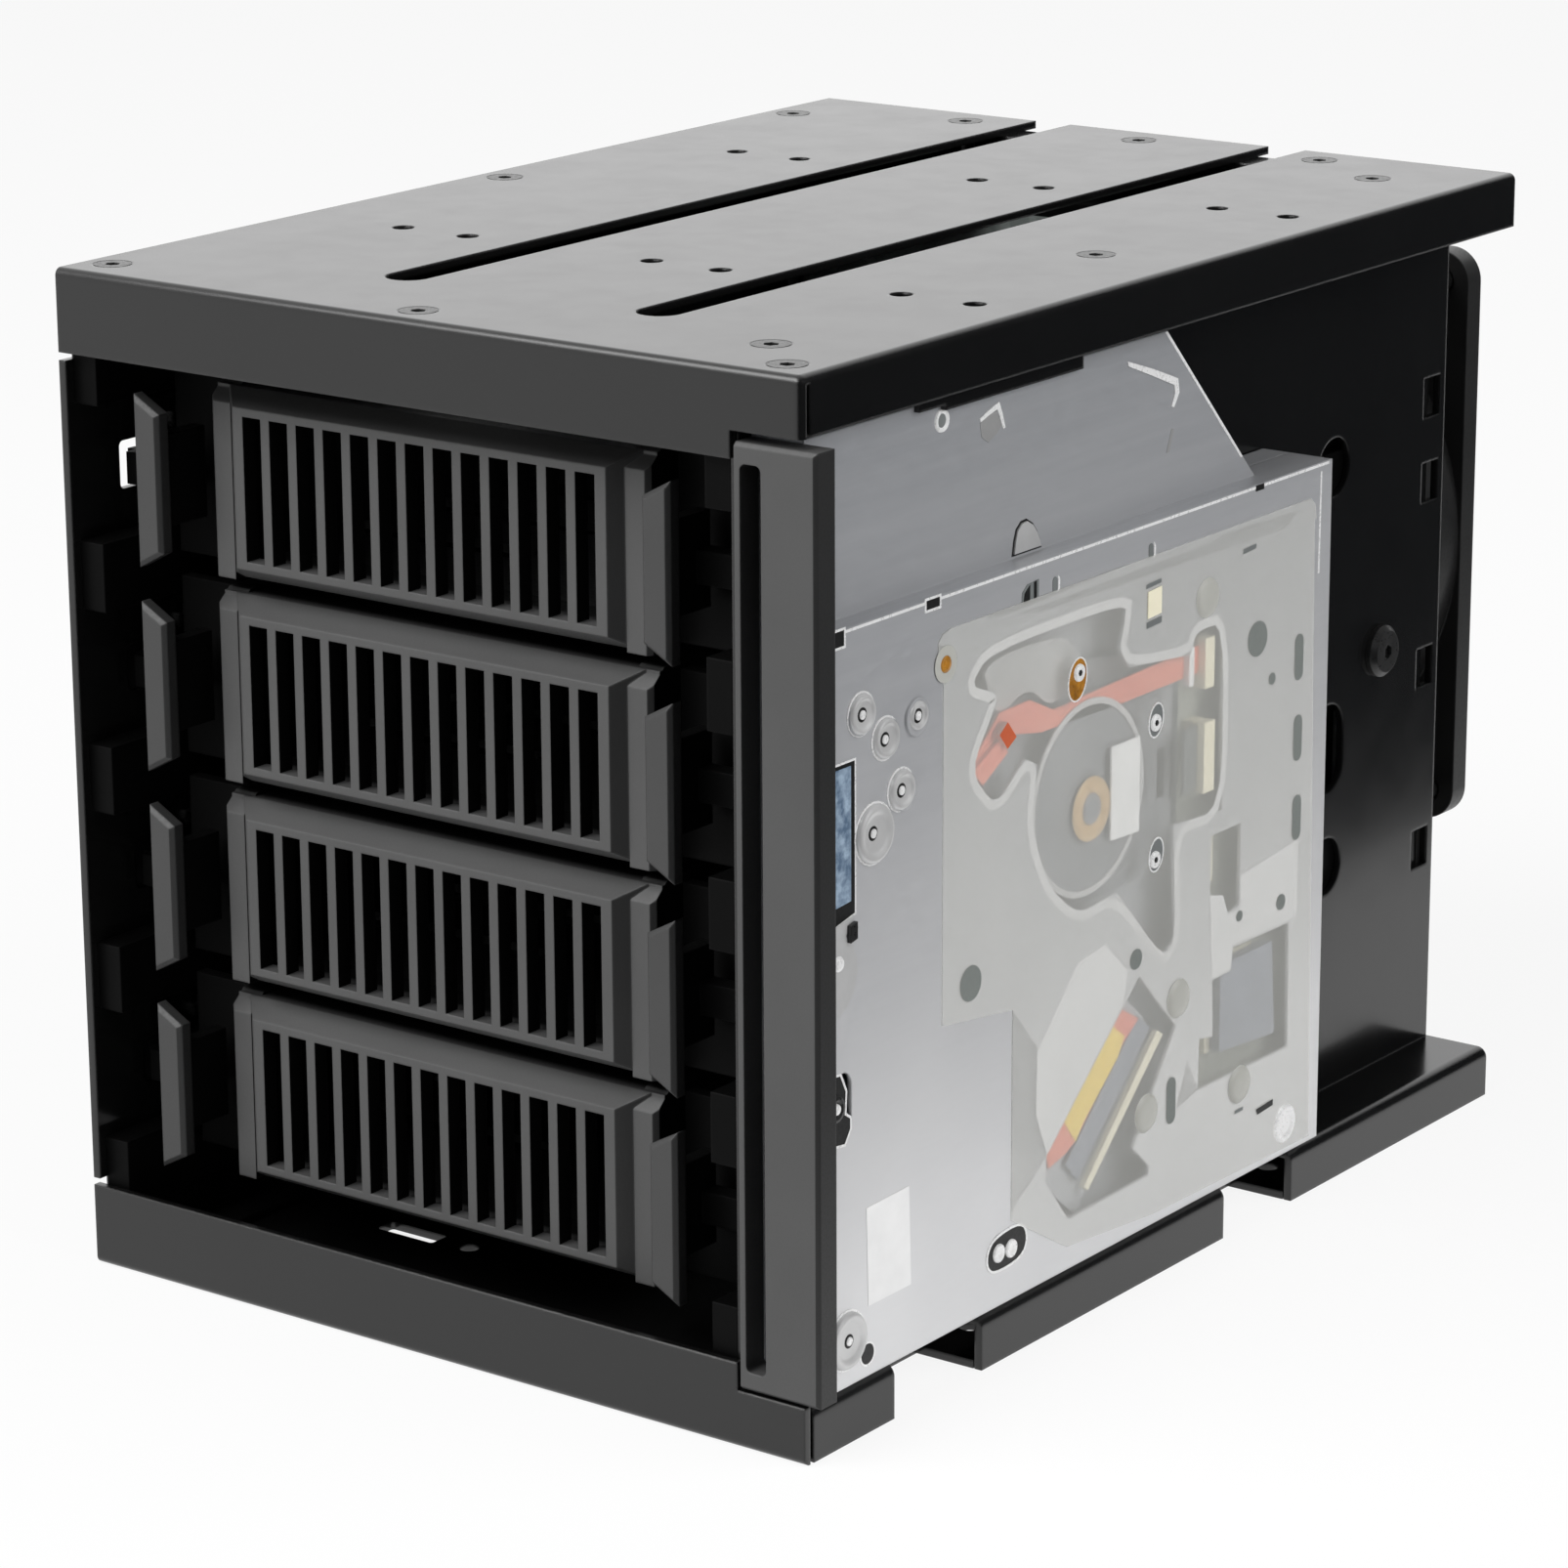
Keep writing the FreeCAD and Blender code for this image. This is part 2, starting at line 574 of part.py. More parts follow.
def drive_socket(number, level):
    """Combined data and power receptacle on the backplane, with its two tongues in two wells."""
    body = new_body(f"drive_socket_{number}", d.bay_middle, d.board_front - d.socket_depth, level - 7.5)
    pad(body, "housing", "XZ", 0, d.socket_depth, rounded(-23, -3.4, 19, 3.4, 0.8))
    cut(body, "wells", "XZ", -1, 6, rectangle(-21.5, -2.2, 4.2, 2.2), rectangle(5.4, -2.2, 17.5, 2.2))
    pad(body, "tongues", "XZ", 1, 5.5, rectangle(-20.5, -0.6, 3.4, 0.6), rectangle(6.2, -0.6, 16.7, 0.6))
    return body


def data_ports():
    """Four upright data plugs' sockets behind the board."""
    body = new_body("data_ports", 0, d.board_front + d.board_gauge, PORT_ROW)
    pad(body, "housings", "XZ", 0, 9.5, *[rectangle(x - 3.8, -7.9, x + 3.8, 7.9) for x in DATA_SPOTS])
    cut(body, "wells", "XZ", 3, 8, *[rectangle(x - 2.3, -6.2, x + 2.3, 6.2) for x in DATA_SPOTS])
    pad(body, "tongues", "XZ", 2, 6.5, *[rectangle(x - 0.6, -5, x + 0.6, 5) for x in DATA_SPOTS])
    return body


def power_inlets():
    """Two four-pin power inlets behind the board, with their pins."""
    body = new_body("power_inlets", 0, d.board_front + d.board_gauge, PORT_ROW)
    shells = []
    wells = []
    pins = []
    for x in POWER_SPOTS:
        shells.append(polygon((x - 10.5, -5.5), (x + 10.5, -5.5), (x + 10.5, 3.5), (x + 8.5, 5.5),
                              (x - 8.5, 5.5), (x - 10.5, 3.5)))
        wells.append(rectangle(x - 9.3, -4.3, x + 9.3, 3.2))
        pins += [circle(x + 5.08 * (pin - 1.5), -0.6, 1.0) for pin in range(4)]
    pad(body, "shells", "XZ", 0, 12.5, *shells)
    cut(body, "wells", "XZ", 2.5, 11, *wells)
    pad(body, "pins", "XZ", 1.5, 9, *pins)
    return body


def fan_frame():
    """Square fan frame: two flanges on a round duct, four rear struts and the bearing boss."""
    body = new_body("fan_frame", 0, d.rear_face + d.gauge, d.fan_middle_z)
    half = d.fan_size / 2
    corner = 5.0
    pad(body, "front_flange", "XZ", 0, d.fan_flange, rounded(-half, -half, half, half, corner))
    pad(body, "rear_flange", "XZ", d.fan_depth - d.fan_flange, d.fan_flange,
        rounded(-half, -half, half, half, corner))
    pad(body, "duct", "XZ", 0, d.fan_depth, circle(0, 0, half - 0.4))
    cut(body, "bore", "XZ", -1, d.fan_depth + 2, circle(0, 0, d.fan_bore))
    strut = 2.2
    pad(body, "struts", "XZ", d.fan_depth - 3, 3,
        *[turned(polygon((d.fan_hub - 1, -strut), (d.fan_bore + 0.8, -strut), (d.fan_bore + 0.8, strut),
                         (d.fan_hub - 1, strut)), angle) for angle in (35, 125, 215, 305)])
    pad(body, "motor_cup", "XZ", d.fan_depth - 3, 3, circle(0, 0, d.fan_hub))
    pad(body, "bearing_boss", "XZ", 8, d.fan_depth - 11, circle(0, 0, 4.5))
    cut(body, "bearing_bore", "XZ", 7, d.fan_depth - 9, circle(0, 0, d.shaft_radius + d.shaft_fit))
    spots = [(d.fan_holes / 2 * a, d.fan_holes / 2 * b) for a in (-1, 1) for b in (-1, 1)]
    cut(body, "mount_holes", "XZ", -1, d.fan_depth + 2, *[circle(x, z, 2.15) for x, z in spots])
    return body


def turned(draw, angle):
    """The same outline turned about the sketch's origin."""
    def draw_turned(sketch):
        first = sketch.GeometryCount
        draw(sketch)
        spin = math.radians(angle)
        points = [sketch.Geometry[index].StartPoint for index in range(first, sketch.GeometryCount)]
        cosine, sine = math.cos(spin), math.sin(spin)
        turned_points = [(p.x * cosine - p.y * sine, p.x * sine + p.y * cosine) for p in points]
        sketch.delGeometries(list(range(first, sketch.GeometryCount)))
        polygon(*turned_points)(sketch)
    return draw_turned


def blade_section(height, chord, pitch):
    """Cambered blade section, pitched out of the fan's plane, in the plane z = height."""
    thickness, camber, steps = 1.2, 1.8, 4
    turn = math.radians(pitch)
    upper, lower = [], []
    for step in range(steps + 1):
        along = step / steps - 0.5
        across = chord * along * math.cos(turn)
        depth = chord * along * math.sin(turn) - camber * (0.25 - along * along)
        half = thickness * (0.5 - 0.6 * abs(along))
        upper.append(Vector(across, depth + half, height))
        lower.append(Vector(across, depth - half, height))
    return Part.makePolygon(upper + lower[::-1] + [upper[0]])


def fan_rotor():
    """Hub cup with seven twisted blades trimmed round at the tip, and a boss for the shaft."""
    axis = Vector(0, 1, 0)
    hub_radius, front, rear = float(d.fan_hub), 2.5, 19.5
    wall, crown, boss = 1.5, 1.6, 3.0
    profile = [(0, front), (hub_radius - crown, front), (hub_radius, front + crown), (hub_radius, rear),
               (hub_radius - wall, rear), (hub_radius - wall, front + 2.2), (boss, front + 2.2),
               (boss, front + 4.5), (0, front + 4.5)]
    outline = [Vector(x, y, 0) for x, y in profile]
    hub = Part.Face(Part.makePolygon(outline + outline[:1])).revolve(Vector(0, 0, 0), axis, 360)
    stations = ((hub_radius - 2.4, 14.0, 42), (30.0, 22.0, 31), (44.0, 30.0, 22))
    blade = Part.makeLoft([blade_section(*station) for station in stations], True, True)
    blade.translate(axis * 11.0)
    blade = blade.common(rod(d.fan_blade_tip, 30, 0, 0, 0, axis))
    blades = []
    for index in range(7):
        copy = blade.copy()
        copy.rotate(Vector(0, 0, 0), axis, 360.0 * index / 7)
        blades.append(copy)
    rotor = hub.fuse(blades).cut(rod(d.shaft_radius, 3, 0, front + 2.3, 0, axis))
    return add_shape("fan_rotor", rotor, 0, d.rear_face + d.gauge, d.fan_middle_z)


def fan_shaft():
    return add_shape("fan_shaft", rod(d.shaft_radius, 16.5, 0, 4.8, 0, Vector(0, 1, 0)),
                     0, d.rear_face + d.gauge, d.fan_middle_z)


# --- trays -----------------------------------------------------------------------------------

def sled(number, level):
    """The drive carrier's vented floor pan."""
    body = new_body(f"tray_{number}_sled", d.bay_middle, 0, level)
    pad(body, "pan", "XY", d.sled_base, d.sled_gauge,
        rectangle(-d.sled_side, d.sled_start, d.sled_side, d.sled_end))
    vent = cut(body, "vent", "XY", d.sled_base - 1, 3, rounded(-40, 36, -6, 36 + d.vent_width, 2.9),
               rounded(6, 36, 40, 36 + d.vent_width, 2.9))
    repeat(body, "vents", [vent], vent.Profile[0], "V_Axis", d.vent_pitch * 6, 7)
    return body


def rails(number, level):
    """The carrier's two side rails, each with guide ridges, latch ears and drive holes."""
    body = new_body(f"tray_{number}_rails", d.bay_middle, 0, level)
    side, inner = d.sled_side, d.sled_side - d.sled_gauge
    foot = d.sled_base + d.sled_gauge

    def both(inside, low, outside, high):
        return [rectangle(inside, low, outside, high), rectangle(-outside, low, -inside, high)]

    pad(body, "sides", "XZ", d.sled_start, d.sled_end - d.sled_start, *both(inner, foot, side, d.sled_top))
    pad(body, "ridges", "XZ", 34, d.sled_end - 36,
        *both(side, -d.sled_top, d.ridge_reach, -d.sled_top + d.ridge_height),
        *both(side, d.sled_top - d.ridge_height, d.ridge_reach, d.sled_top))
    ear_top = d.ear_level + d.ear_height
    pad(body, "latch_ears", "XZ", d.pivot_depth - 3, 6, *both(side, d.ear_level, d.ear_reach, ear_top),
        *both(side, -ear_top, d.ear_reach, -d.ear_level))
    pins = [circle(d.pivot_reach * sign, d.pivot_depth, d.pin_radius) for sign in (-1, 1)]
    cut(body, "pin_holes", "XY", -ear_top - 1, ear_top * 2 + 2, *pins)
    drive_holes = [circle(d.sled_end + offset, d.sled_base + 7.35, 1.75) for offset in (-25.0, -66.6, -126.6)]
    cut(body, "drive_holes", "YZ", -side - 5, side * 2 + 10, *drive_holes)
    return body


def bezel(number, level):
    """Moulded tray front: a bevelled grille block between two columns, with recessed wings."""
    body = new_body(f"tray_{number}_bezel", d.bay_middle, 0, level)
    front = new_sketch(body, "block_front_sketch", "XZ", d.grille_front)
    rectangle(-d.grille_half, -d.grille_rise, d.grille_half, d.grille_rise)(front)
    rear = new_sketch(body, "block_rear_sketch", "XZ", d.block_front)
    rectangle(-d.block_half, -d.block_rise, d.block_half, d.block_rise)(rear)
    block_loft = body.newObject("PartDesign::AdditiveLoft", "bevelled_block")
    block_loft.Profile = front
    block_loft.Sections = [(rear, [""])]
    block_loft.Ruled = True
    pad(body, "frame", "XZ", d.block_front, d.bezel_back - d.block_front,
        rectangle(-d.column_outer, -d.block_rise, d.column_outer, d.block_rise))
    column = pad(body, "column", "YZ", d.column_inner, d.column_outer - d.column_inner,
                 polygon((d.column_front, -d.block_rise), (d.bezel_back, -d.block_rise),
                         (d.bezel_back, d.block_rise + 0.4), (d.column_front + 2.9, d.block_rise + 0.4),
                         (d.column_front, d.column_rise)))
    wing = pad(body, "wing", "XZ", d.bezel_back - d.wing_thick, d.wing_thick,
               rectangle(d.column_outer - 1, -d.block_rise + 0.6, d.wing_reach, d.block_rise - 0.6))
    mirror(body, "other_side", [column, wing])
    dress(body, "Chamfer", "column_edges", 0.7,
          lambda edge: runs_along(edge, "z") and near(abs(edge.BoundBox.Center.x), d.column_outer)
          and near(edge.BoundBox.Center.y, d.column_front))
    cut(body, "air_hollow", "XZ", d.grille_front + d.grille_thick, d.bezel_back,
        rectangle(-d.grille_half + 1, -d.grille_rise + 0.6, d.grille_half - 1, d.grille_rise - 0.6))
    slot_middle = d.slot_pitch * -6
    slot = cut(body, "slot", "XZ", d.grille_front - 1, d.grille_thick + 2,
               rectangle(slot_middle - d.slot_width / 2, -d.slot_rise, slot_middle + d.slot_width / 2,
                         d.slot_rise))
    repeat(body, "grille", [slot], slot.Profile[0], "H_Axis", d.slot_pitch * 12, 13)
    return body


def latch(number, level, side, hand):
    """Sprung lever on one side of a tray: pivot barrel, arm, hook, stem and pinch paddle."""
    body = new_body(f"tray_{number}_{side}_latch", d.bay_middle + d.pivot_reach * hand, d.pivot_depth, level)

    def across(length):
        return (length - d.pivot_reach) * hand

    def along(length):
        return length - d.pivot_depth

    pad(body, "barrel", "XY", -d.barrel_rise, d.barrel_rise + 2.4, circle(0, 0, d.barrel))
    arm_low = -d.barrel_rise
    pad(body, "arm", "XY", arm_low, d.barrel_rise + 2.4,
        polygon((-1.0 * hand, 0), (1.0 * hand, 0), (1.0 * hand, along(12)), (-1.0 * hand, along(12))))
    hook_low = -d.hook_rise - window_drop
    pad(body, "hook", "XY", hook_low, d.hook_rise * 2,
        polygon((across(d.paddle_inner + 1), along(9.6)), (across(55.1), along(9.6)),
                (across(55.1), along(11.4)), (across(d.hook_reach), along(11.4)),
                (across(d.hook_reach), along(12.6)), (across(55.1), along(15.6)),
                (across(53.1), along(15.6)), (across(53.1), along(12.6)),
                (across(d.paddle_inner + 1), along(12.6))))
    stem_rise = 6.5
    pad(body, "stem", "XY", -stem_rise, stem_rise * 2,
        polygon((across(d.paddle_inner + 1), along(3)), (across(d.paddle_outer - 1.4), along(3)),
                (across(d.paddle_outer - 1.4), along(12.6)), (across(d.paddle_inner + 1), along(12.6))))
    pad(body, "paddle", "XZ", along(d.paddle_front), d.paddle_thick,
        polygon((across(d.paddle_inner), -d.paddle_low_rise), (across(d.paddle_outer), -d.paddle_rise),
                (across(d.paddle_outer), d.paddle_rise), (across(d.paddle_inner), d.paddle_low_rise)))
    dress(body, "Chamfer", "paddle_edges", 0.6,
          lambda edge: near(edge.BoundBox.YMin, along(d.paddle_front)) and near(edge.BoundBox.YLength, 0))
    cut(body, "pin_bore", "XY", -d.barrel_rise - 1, d.barrel_rise * 2, circle(0, 0, d.pin_radius + d.pin_fit))
    return body


def latch_pins(number, level):
    reach = float(d.ear_level + d.ear_height)
    shapes = [rod(d.pin_radius, 2 * reach, sign * d.pivot_reach, 0, -reach) for sign in (-1, 1)]
    return add_shape(f"tray_{number}_pins", Part.makeCompound(shapes), d.bay_middle, d.pivot_depth, level)


def latch_springs(number, level):
    """Torsion spring on each pin: three coils and the leg that bears on the sled."""
    shapes = []
    wire = 0.6
    for sign in (-1, 1):
        middle = sign * float(d.pivot_reach)
        low = float(d.ear_level) - 3 * wire
        coil = rod(d.spring_radius, 3 * wire, middle, 0, low)
        coil = coil.cut(rod(d.pin_radius + 0.15, 3 * wire, middle, 0, low))
        near_side, far_side = sorted((sign * float(d.sled_side), sign * (float(d.sled_side) + wire)))
        leg = block(near_side, -0.5, low, far_side, 7.5, low + wire)
        shapes.append(coil.fuse(leg))
    return add_shape(f"tray_{number}_springs", Part.makeCompound(shapes), d.bay_middle, d.pivot_depth, level)


# --- slim optical drive ----------------------------------------------------------------------

def drive_outline(inset):
    """Side view of the optical drive, its thin wing cut off on a slant at the rear."""
    return polygon((d.drive_start, d.drive_low + inset), (d.drive_end - inset, d.drive_low + inset),
                   (d.drive_end - inset, d.drive_step - inset), (112 - inset, d.drive_step - inset),
                   (88.5 - inset, d.drive_high - inset), (d.drive_start, d.drive_high - inset))


def main_panel(inset):
    return rectangle(d.drive_start, d.drive_low + inset, d.drive_end - inset, d.drive_step - inset)


def wing_panel(inset):
    return polygon((d.drive_start, d.drive_step - 2), (111, d.drive_step - 2), (112 - inset, d.drive_step),
                   (88.5 - inset, d.drive_high - inset), (d.drive_start, d.drive_high - inset))


# outlines (y, z) of the windows in the drive's main panel
MOTOR_WINDOW = ((36.0, 98.6), (40.2, 102.2), (73.3, 102.3), (73.0, 99.3), (71.8, 95.9), (74.4, 92.8),
                (90.2, 91.2), (91.4, 94.3), (98.7, 94.1), (99.0, 66.5), (86.2, 67.3), (87.3, 50.5),
                (84.0, 48.4), (71.9, 61.2), (62.3, 60.3), (54.7, 66.3), (50.5, 75.6), (51.9, 84.2),
                (48.8, 85.7), (41.9, 80.6), (36.0, 86.9), (42.0, 95.0), (41.8, 96.4))
CHIP_WINDOW = ((102.9, 45.0), (118.1, 44.8), (118.5, 25.6), (93.9, 25.9), (94.1, 33.5), (97.7, 32.9),
               (97.4, 41.5), (102.3, 41.6))
SIDE_WINDOW = ((96.3, 54.5), (96.4, 63.3), (104.3, 63.3), (104.2, 51.0), (101.3, 50.5), (99.8, 53.6))
LASER_WINDOW = ((78.0, 47.3), (87.8, 37.3), (76.9, 22.0), (81.1, 18.2), (81.1, 16.8), (60.6, 16.4),
                (54.8, 23.5), (54.9, 27.3))
WINDOWS = (MOTOR_WINDOW, CHIP_WINDOW, SIDE_WINDOW, LASER_WINDOW)


def optical_case():
    """Pressed steel case half: deep main panel, shallow wing, windows and screw bosses."""
    body = new_body("optical_case")
    gauge = d.drive_gauge
    split = d.drive_split
    pad(body, "main_panel", "YZ", split, d.drive_face - split, main_panel(0))
    pad(body, "wing", "YZ", split, d.wing_face - split, wing_panel(0))
    cut(body, "main_hollow", "YZ", split - 1, d.drive_face - split + 1 - gauge, main_panel(gauge))
    cut(body, "wing_hollow", "YZ", split - 1, d.wing_face - split + 1 - gauge, wing_panel(gauge))
    face = d.drive_face - 1
    cut(body, "windows", "YZ", face, 2, *[polygon(*outline) for outline in WINDOWS])
    cut(body, "front_openings", "YZ", face, 2, rounded(5, 75, 9.6, 94, 1.0), rounded(41, 14.5, 50, 19.5, 2.4),
        circle(12.5, 12.2, 1.4), rounded(5, 44, 9, 53, 1.9))
    small_bosses = ((10.9, 100.2), (16.9, 95.9), (20.6, 87.9), (23.5, 97.3))
    wide_bosses = ((14.1, 83.9), (7.8, 15.6))
    for name, spots, radius in (("bosses", small_bosses, 2.6), ("wide_boss", wide_bosses, 3.6)):
        pad(body, name, "YZ", d.drive_face, 0.35, *[circle(y, z, radius) for y, z in spots])
    return body


def optical_lid():
    """Shallow inner half of the optical drive's case."""
    body = new_body("optical_lid")
    gauge = d.drive_gauge
    depth = d.drive_split - d.drive_inner
    pad(body, "skin", "YZ", d.drive_inner, depth, drive_outline(0))
    cut(body, "hollow", "YZ", d.drive_inner + gauge, depth, drive_outline(gauge))
    return body


def optical_bezel():
    """Moulded front of the optical drive with its long disc slot."""
    body = new_body("optical_bezel")
    left = d.disc_slot_left
    pad(body, "front", "XZ", 0, d.drive_bezel_depth,
        rectangle(d.drive_bezel_left, d.drive_bezel_low, d.drive_bezel_right, d.drive_bezel_high))
    cut(body, "disc_slot", "XZ", -1, d.drive_bezel_depth + 2,
        rounded(left, 11.2, left + d.disc_slot_width, 133.8, 0.9))
    dress(body, "Chamfer", "front_edges", 0.5,
          lambda edge: near(edge.BoundBox.YMax, 0) and edge.Length > 5
          and (near(edge.BoundBox.XMin, d.drive_bezel_right) or near(edge.BoundBox.ZMin, d.drive_bezel_high)
               or near(edge.BoundBox.ZMax, d.drive_bezel_low)))
    return body


def optical_inside():
    """What the optical case's windows show: chassis, circuit board, spindle motor and ribbon."""
    deck_face = 60.0
    ribbon_level = 63.1
    inner_low, inner_high = d.drive_low + d.drive_gauge, d.drive_step - d.drive_gauge
    chassis = new_body("optical_chassis")
    pad(chassis, "deck", "YZ", d.drive_split + 0.4, deck_face - d.drive_split - 0.4,
        rectangle(5.5, inner_low, d.drive_end - d.drive_gauge, inner_high))
    pad(chassis, "ribbon_rest", "YZ", deck_face, ribbon_level - deck_face, rounded(38, 85.5, 42, 90, 1.0))
    board = new_body("optical_board")
    board_face = deck_face + 0.8
    pad(board, "board", "YZ", deck_face, 0.8, rectangle(93, 17, 124, 93))
    pad(board, "ribbon_socket", "YZ", board_face, ribbon_level - board_face,
        rectangle(94.2, 85.3, 96.8, 92.6))
    pad(board, "data_socket", "YZ", board_face, 1.8, rectangle(94.2, 70.0, 97.0, 80.3))
    pad(board, "chips", "YZ", board_face, 1.2, rectangle(99.6, 29.2, 112.0, 43.2),
        rectangle(98, 55, 101, 62))
    motor = new_body("spindle_motor")
    pad(motor, "mount", "YZ", deck_face, 1.4,
        polygon((56, 68), (64, 60), (84, 60), (88, 68), (88, 92), (60, 96)))
    pad(motor, "case", "YZ", deck_face + 1.4, 1.6, circle(65.0, 74.9, 8.0))
    pad(motor, "bearing_ring", "YZ", deck_face + 3.0, 0.5, circle(65.0, 74.9, 4.4))
    cut(motor, "bearing_bore", "YZ", deck_face + 2.4, 2, circle(65.0, 74.9, 2.2))
    ribbon = new_body("motor_ribbon")
    pad(ribbon, "ribbon", "YZ", ribbon_level, 0.3,
        polygon((36.6, 86.4), (41.8, 90.5), (44.5, 92.8), (51.8, 93.0), (57.4, 90.4), (96.8, 91.6),
                (96.8, 87.6), (73.9, 87.5), (54.3, 87.9), (46.4, 89.4), (38.6, 84.9)))
    laser = new_body("laser_sled")
    pad(laser, "sled", "YZ", deck_face, 2.6, polygon((55, 23.5), (65.5, 15), (82.5, 39.5), (72, 48.5)))


def optical_film():
    """Thin insulating film stuck over the case's windows."""
    body = new_body("optical_film")
    pad(body, "film", "YZ", d.drive_face, d.film_gauge,
        polygon((29.5, 105.5), (122.7, 104.4), (125, 9.8), (82, 10.6), (60, 12.5), (46.2, 20.6),
                (46.2, 51), (29.5, 53.3)))
    return body


def optical_bracket():
    """Angle that hangs the optical drive's upper edge from the top sheet."""
    body = new_body("optical_bracket")
    high = plate_under
    for name, start, length, low in (("angle", 34, 32.3, 135.6), ("toe", 28, 6.5, 136.3)):
        pad(body, name, "XZ", start, length,
            polygon((54.2, high), (54.2, high - d.gauge), (d.wing_face, high - d.gauge),
                    (d.wing_face, low), (d.wing_face + 0.9, low), (d.wing_face + 0.9, high)))
    pad(body, "tongue", "XY", high - d.gauge, d.gauge, rounded(54.2, 2.4, d.wing_face, 30, 1.0))
    threaded(body, high - d.gauge - 1, [(57.4, 5.5)])
    return body


# --- fasteners -------------------------------------------------------------------------------

def hexagon(across_flats, depth, z):
    """Hexagonal prism for a socket recess."""
    corner = across_flats / math.sqrt(3)
    points = [Vector(corner * math.cos(math.radians(60 * k)), corner * math.sin(math.radians(60 * k)), z)
              for k in range(7)]
    return Part.Face(Part.makePolygon(points)).extrude(Vector(0, 0, depth))


def sunk_screw():
    """Countersunk screw with its head's face at z = 0 and its shank below."""
    head_depth = float(d.gauge) - 0.1
    head = Part.makeCone(float(d.screw_radius), float(d.screw_radius) + head_depth, head_depth,
                         Vector(0, 0, -head_depth))
    shank = rod(d.screw_radius, d.screw_length - head_depth, 0, 0, -d.screw_length)
    return head.fuse(shank).removeSplitter().cut(hexagon(1.9, 0.8, -0.7))


def cage_screws():
    screw = sunk_screw()
    shapes = []
    length = float(d.screw_length)
    for spots, level, flip in ((TOP_SCREWS, float(d.cage_height), False), (BOTTOM_SCREWS, 0.0, True)):
        for x, y in spots:
            copy = screw.copy()
            if flip:
                copy.rotate(Vector(0, 0, 0), Vector(1, 0, 0), 180)
            copy.translate(Vector(x, y, level))
            shapes.append(copy)
    return add_shape("cage_screws", Part.makeCompound(shapes))


def panel_screws():
    """Button-head screws: four through the fan, one on the right wall."""
    def button(reach, direction, x, y, z, head):
        crown = float(d.screw_crown)
        shape = rod(1.9, reach, 0, 0, -reach).fuse(rod(head, crown, 0, 0, 0)).removeSplitter()
        rim = [edge for edge in shape.Edges if near(edge.BoundBox.Center.z, crown) and edge.Closed]
        shape = shape.makeChamfer(0.8, rim).cut(hexagon(2.0, 1.2, crown - 0.7))
        shape.Placement = Placement(Vector(x, y, z), Rotation(Vector(0, 0, 1), direction))
        return shape
    rear = float(d.rear_face + d.gauge + d.fan_depth)
    half = float(d.fan_holes) / 2
    middle = float(d.fan_middle_z)
    shapes = []
    for a in (-1, 1):
        for b in (-1, 1):
            shapes.append(button(27.0, Vector(0, 1, 0), half * a, rear, middle + half * b, 3.4))
    shapes.append(button(d.gauge, Vector(1, 0, 0), float(d.wall_face), 163.0, 74.4, 4.0))
    return add_shape("panel_screws", Part.makeCompound(shapes))


def board_standoffs():
    gap = d.rear_face - d.board_front - d.board_gauge
    shapes = []
    for x, z in STANDOFFS:
        post = hexagon(5.0, float(gap), 0)
        post.Placement = Placement(Vector(x, float(d.rear_face), z), Rotation(Vector(1, 0, 0), 90))
        shapes.append(post)
    return add_shape("board_standoffs", Part.makeCompound(shapes))


# --- assembly --------------------------------------------------------------------------------

top_sheet()
bottom_sheet()
left_side()
right_side()
guide("left_guide", -half_width + d.gauge, 1)
guide("right_guide", d.wall_face - d.gauge, -1)
front_bar()
rear_sheet()
backplane()
data_ports()
power_inlets()
board_standoffs()
fan_frame()
fan_rotor()
fan_shaft()
for bay, height in enumerate(bay_levels, 1):
    drive_socket(bay, height)
    sled(bay, height)
    rails(bay, height)
    bezel(bay, height)
    latch(bay, height, "left", -1)
    latch(bay, height, "right", 1)
    latch_pins(bay, height)
    latch_springs(bay, height)
optical_case()
optical_lid()
optical_bezel()
optical_inside()
optical_film()
optical_bracket()
cage_screws()
panel_screws()
doc.recompute()

for item in doc.Objects:
    if "Invalid" in item.State or "Error" in item.State:
        raise RuntimeError(f"{item.Label} did not recompute: {item.State}")
for subpart in SUBPARTS:
    if subpart.Shape.isNull() or not subpart.Shape.isValid() or not subpart.Shape.Solids:
        raise RuntimeError(f"{subpart.Label} has no valid solid")

os.makedirs("parts", exist_ok=True)
for subpart in SUBPARTS:
    subpart.Shape.exportStep(f"parts/{subpart.Label}.step")
print(len(SUBPARTS), "sub-parts written")
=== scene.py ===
import json
import math

import bpy
from mathutils import Matrix, Vector


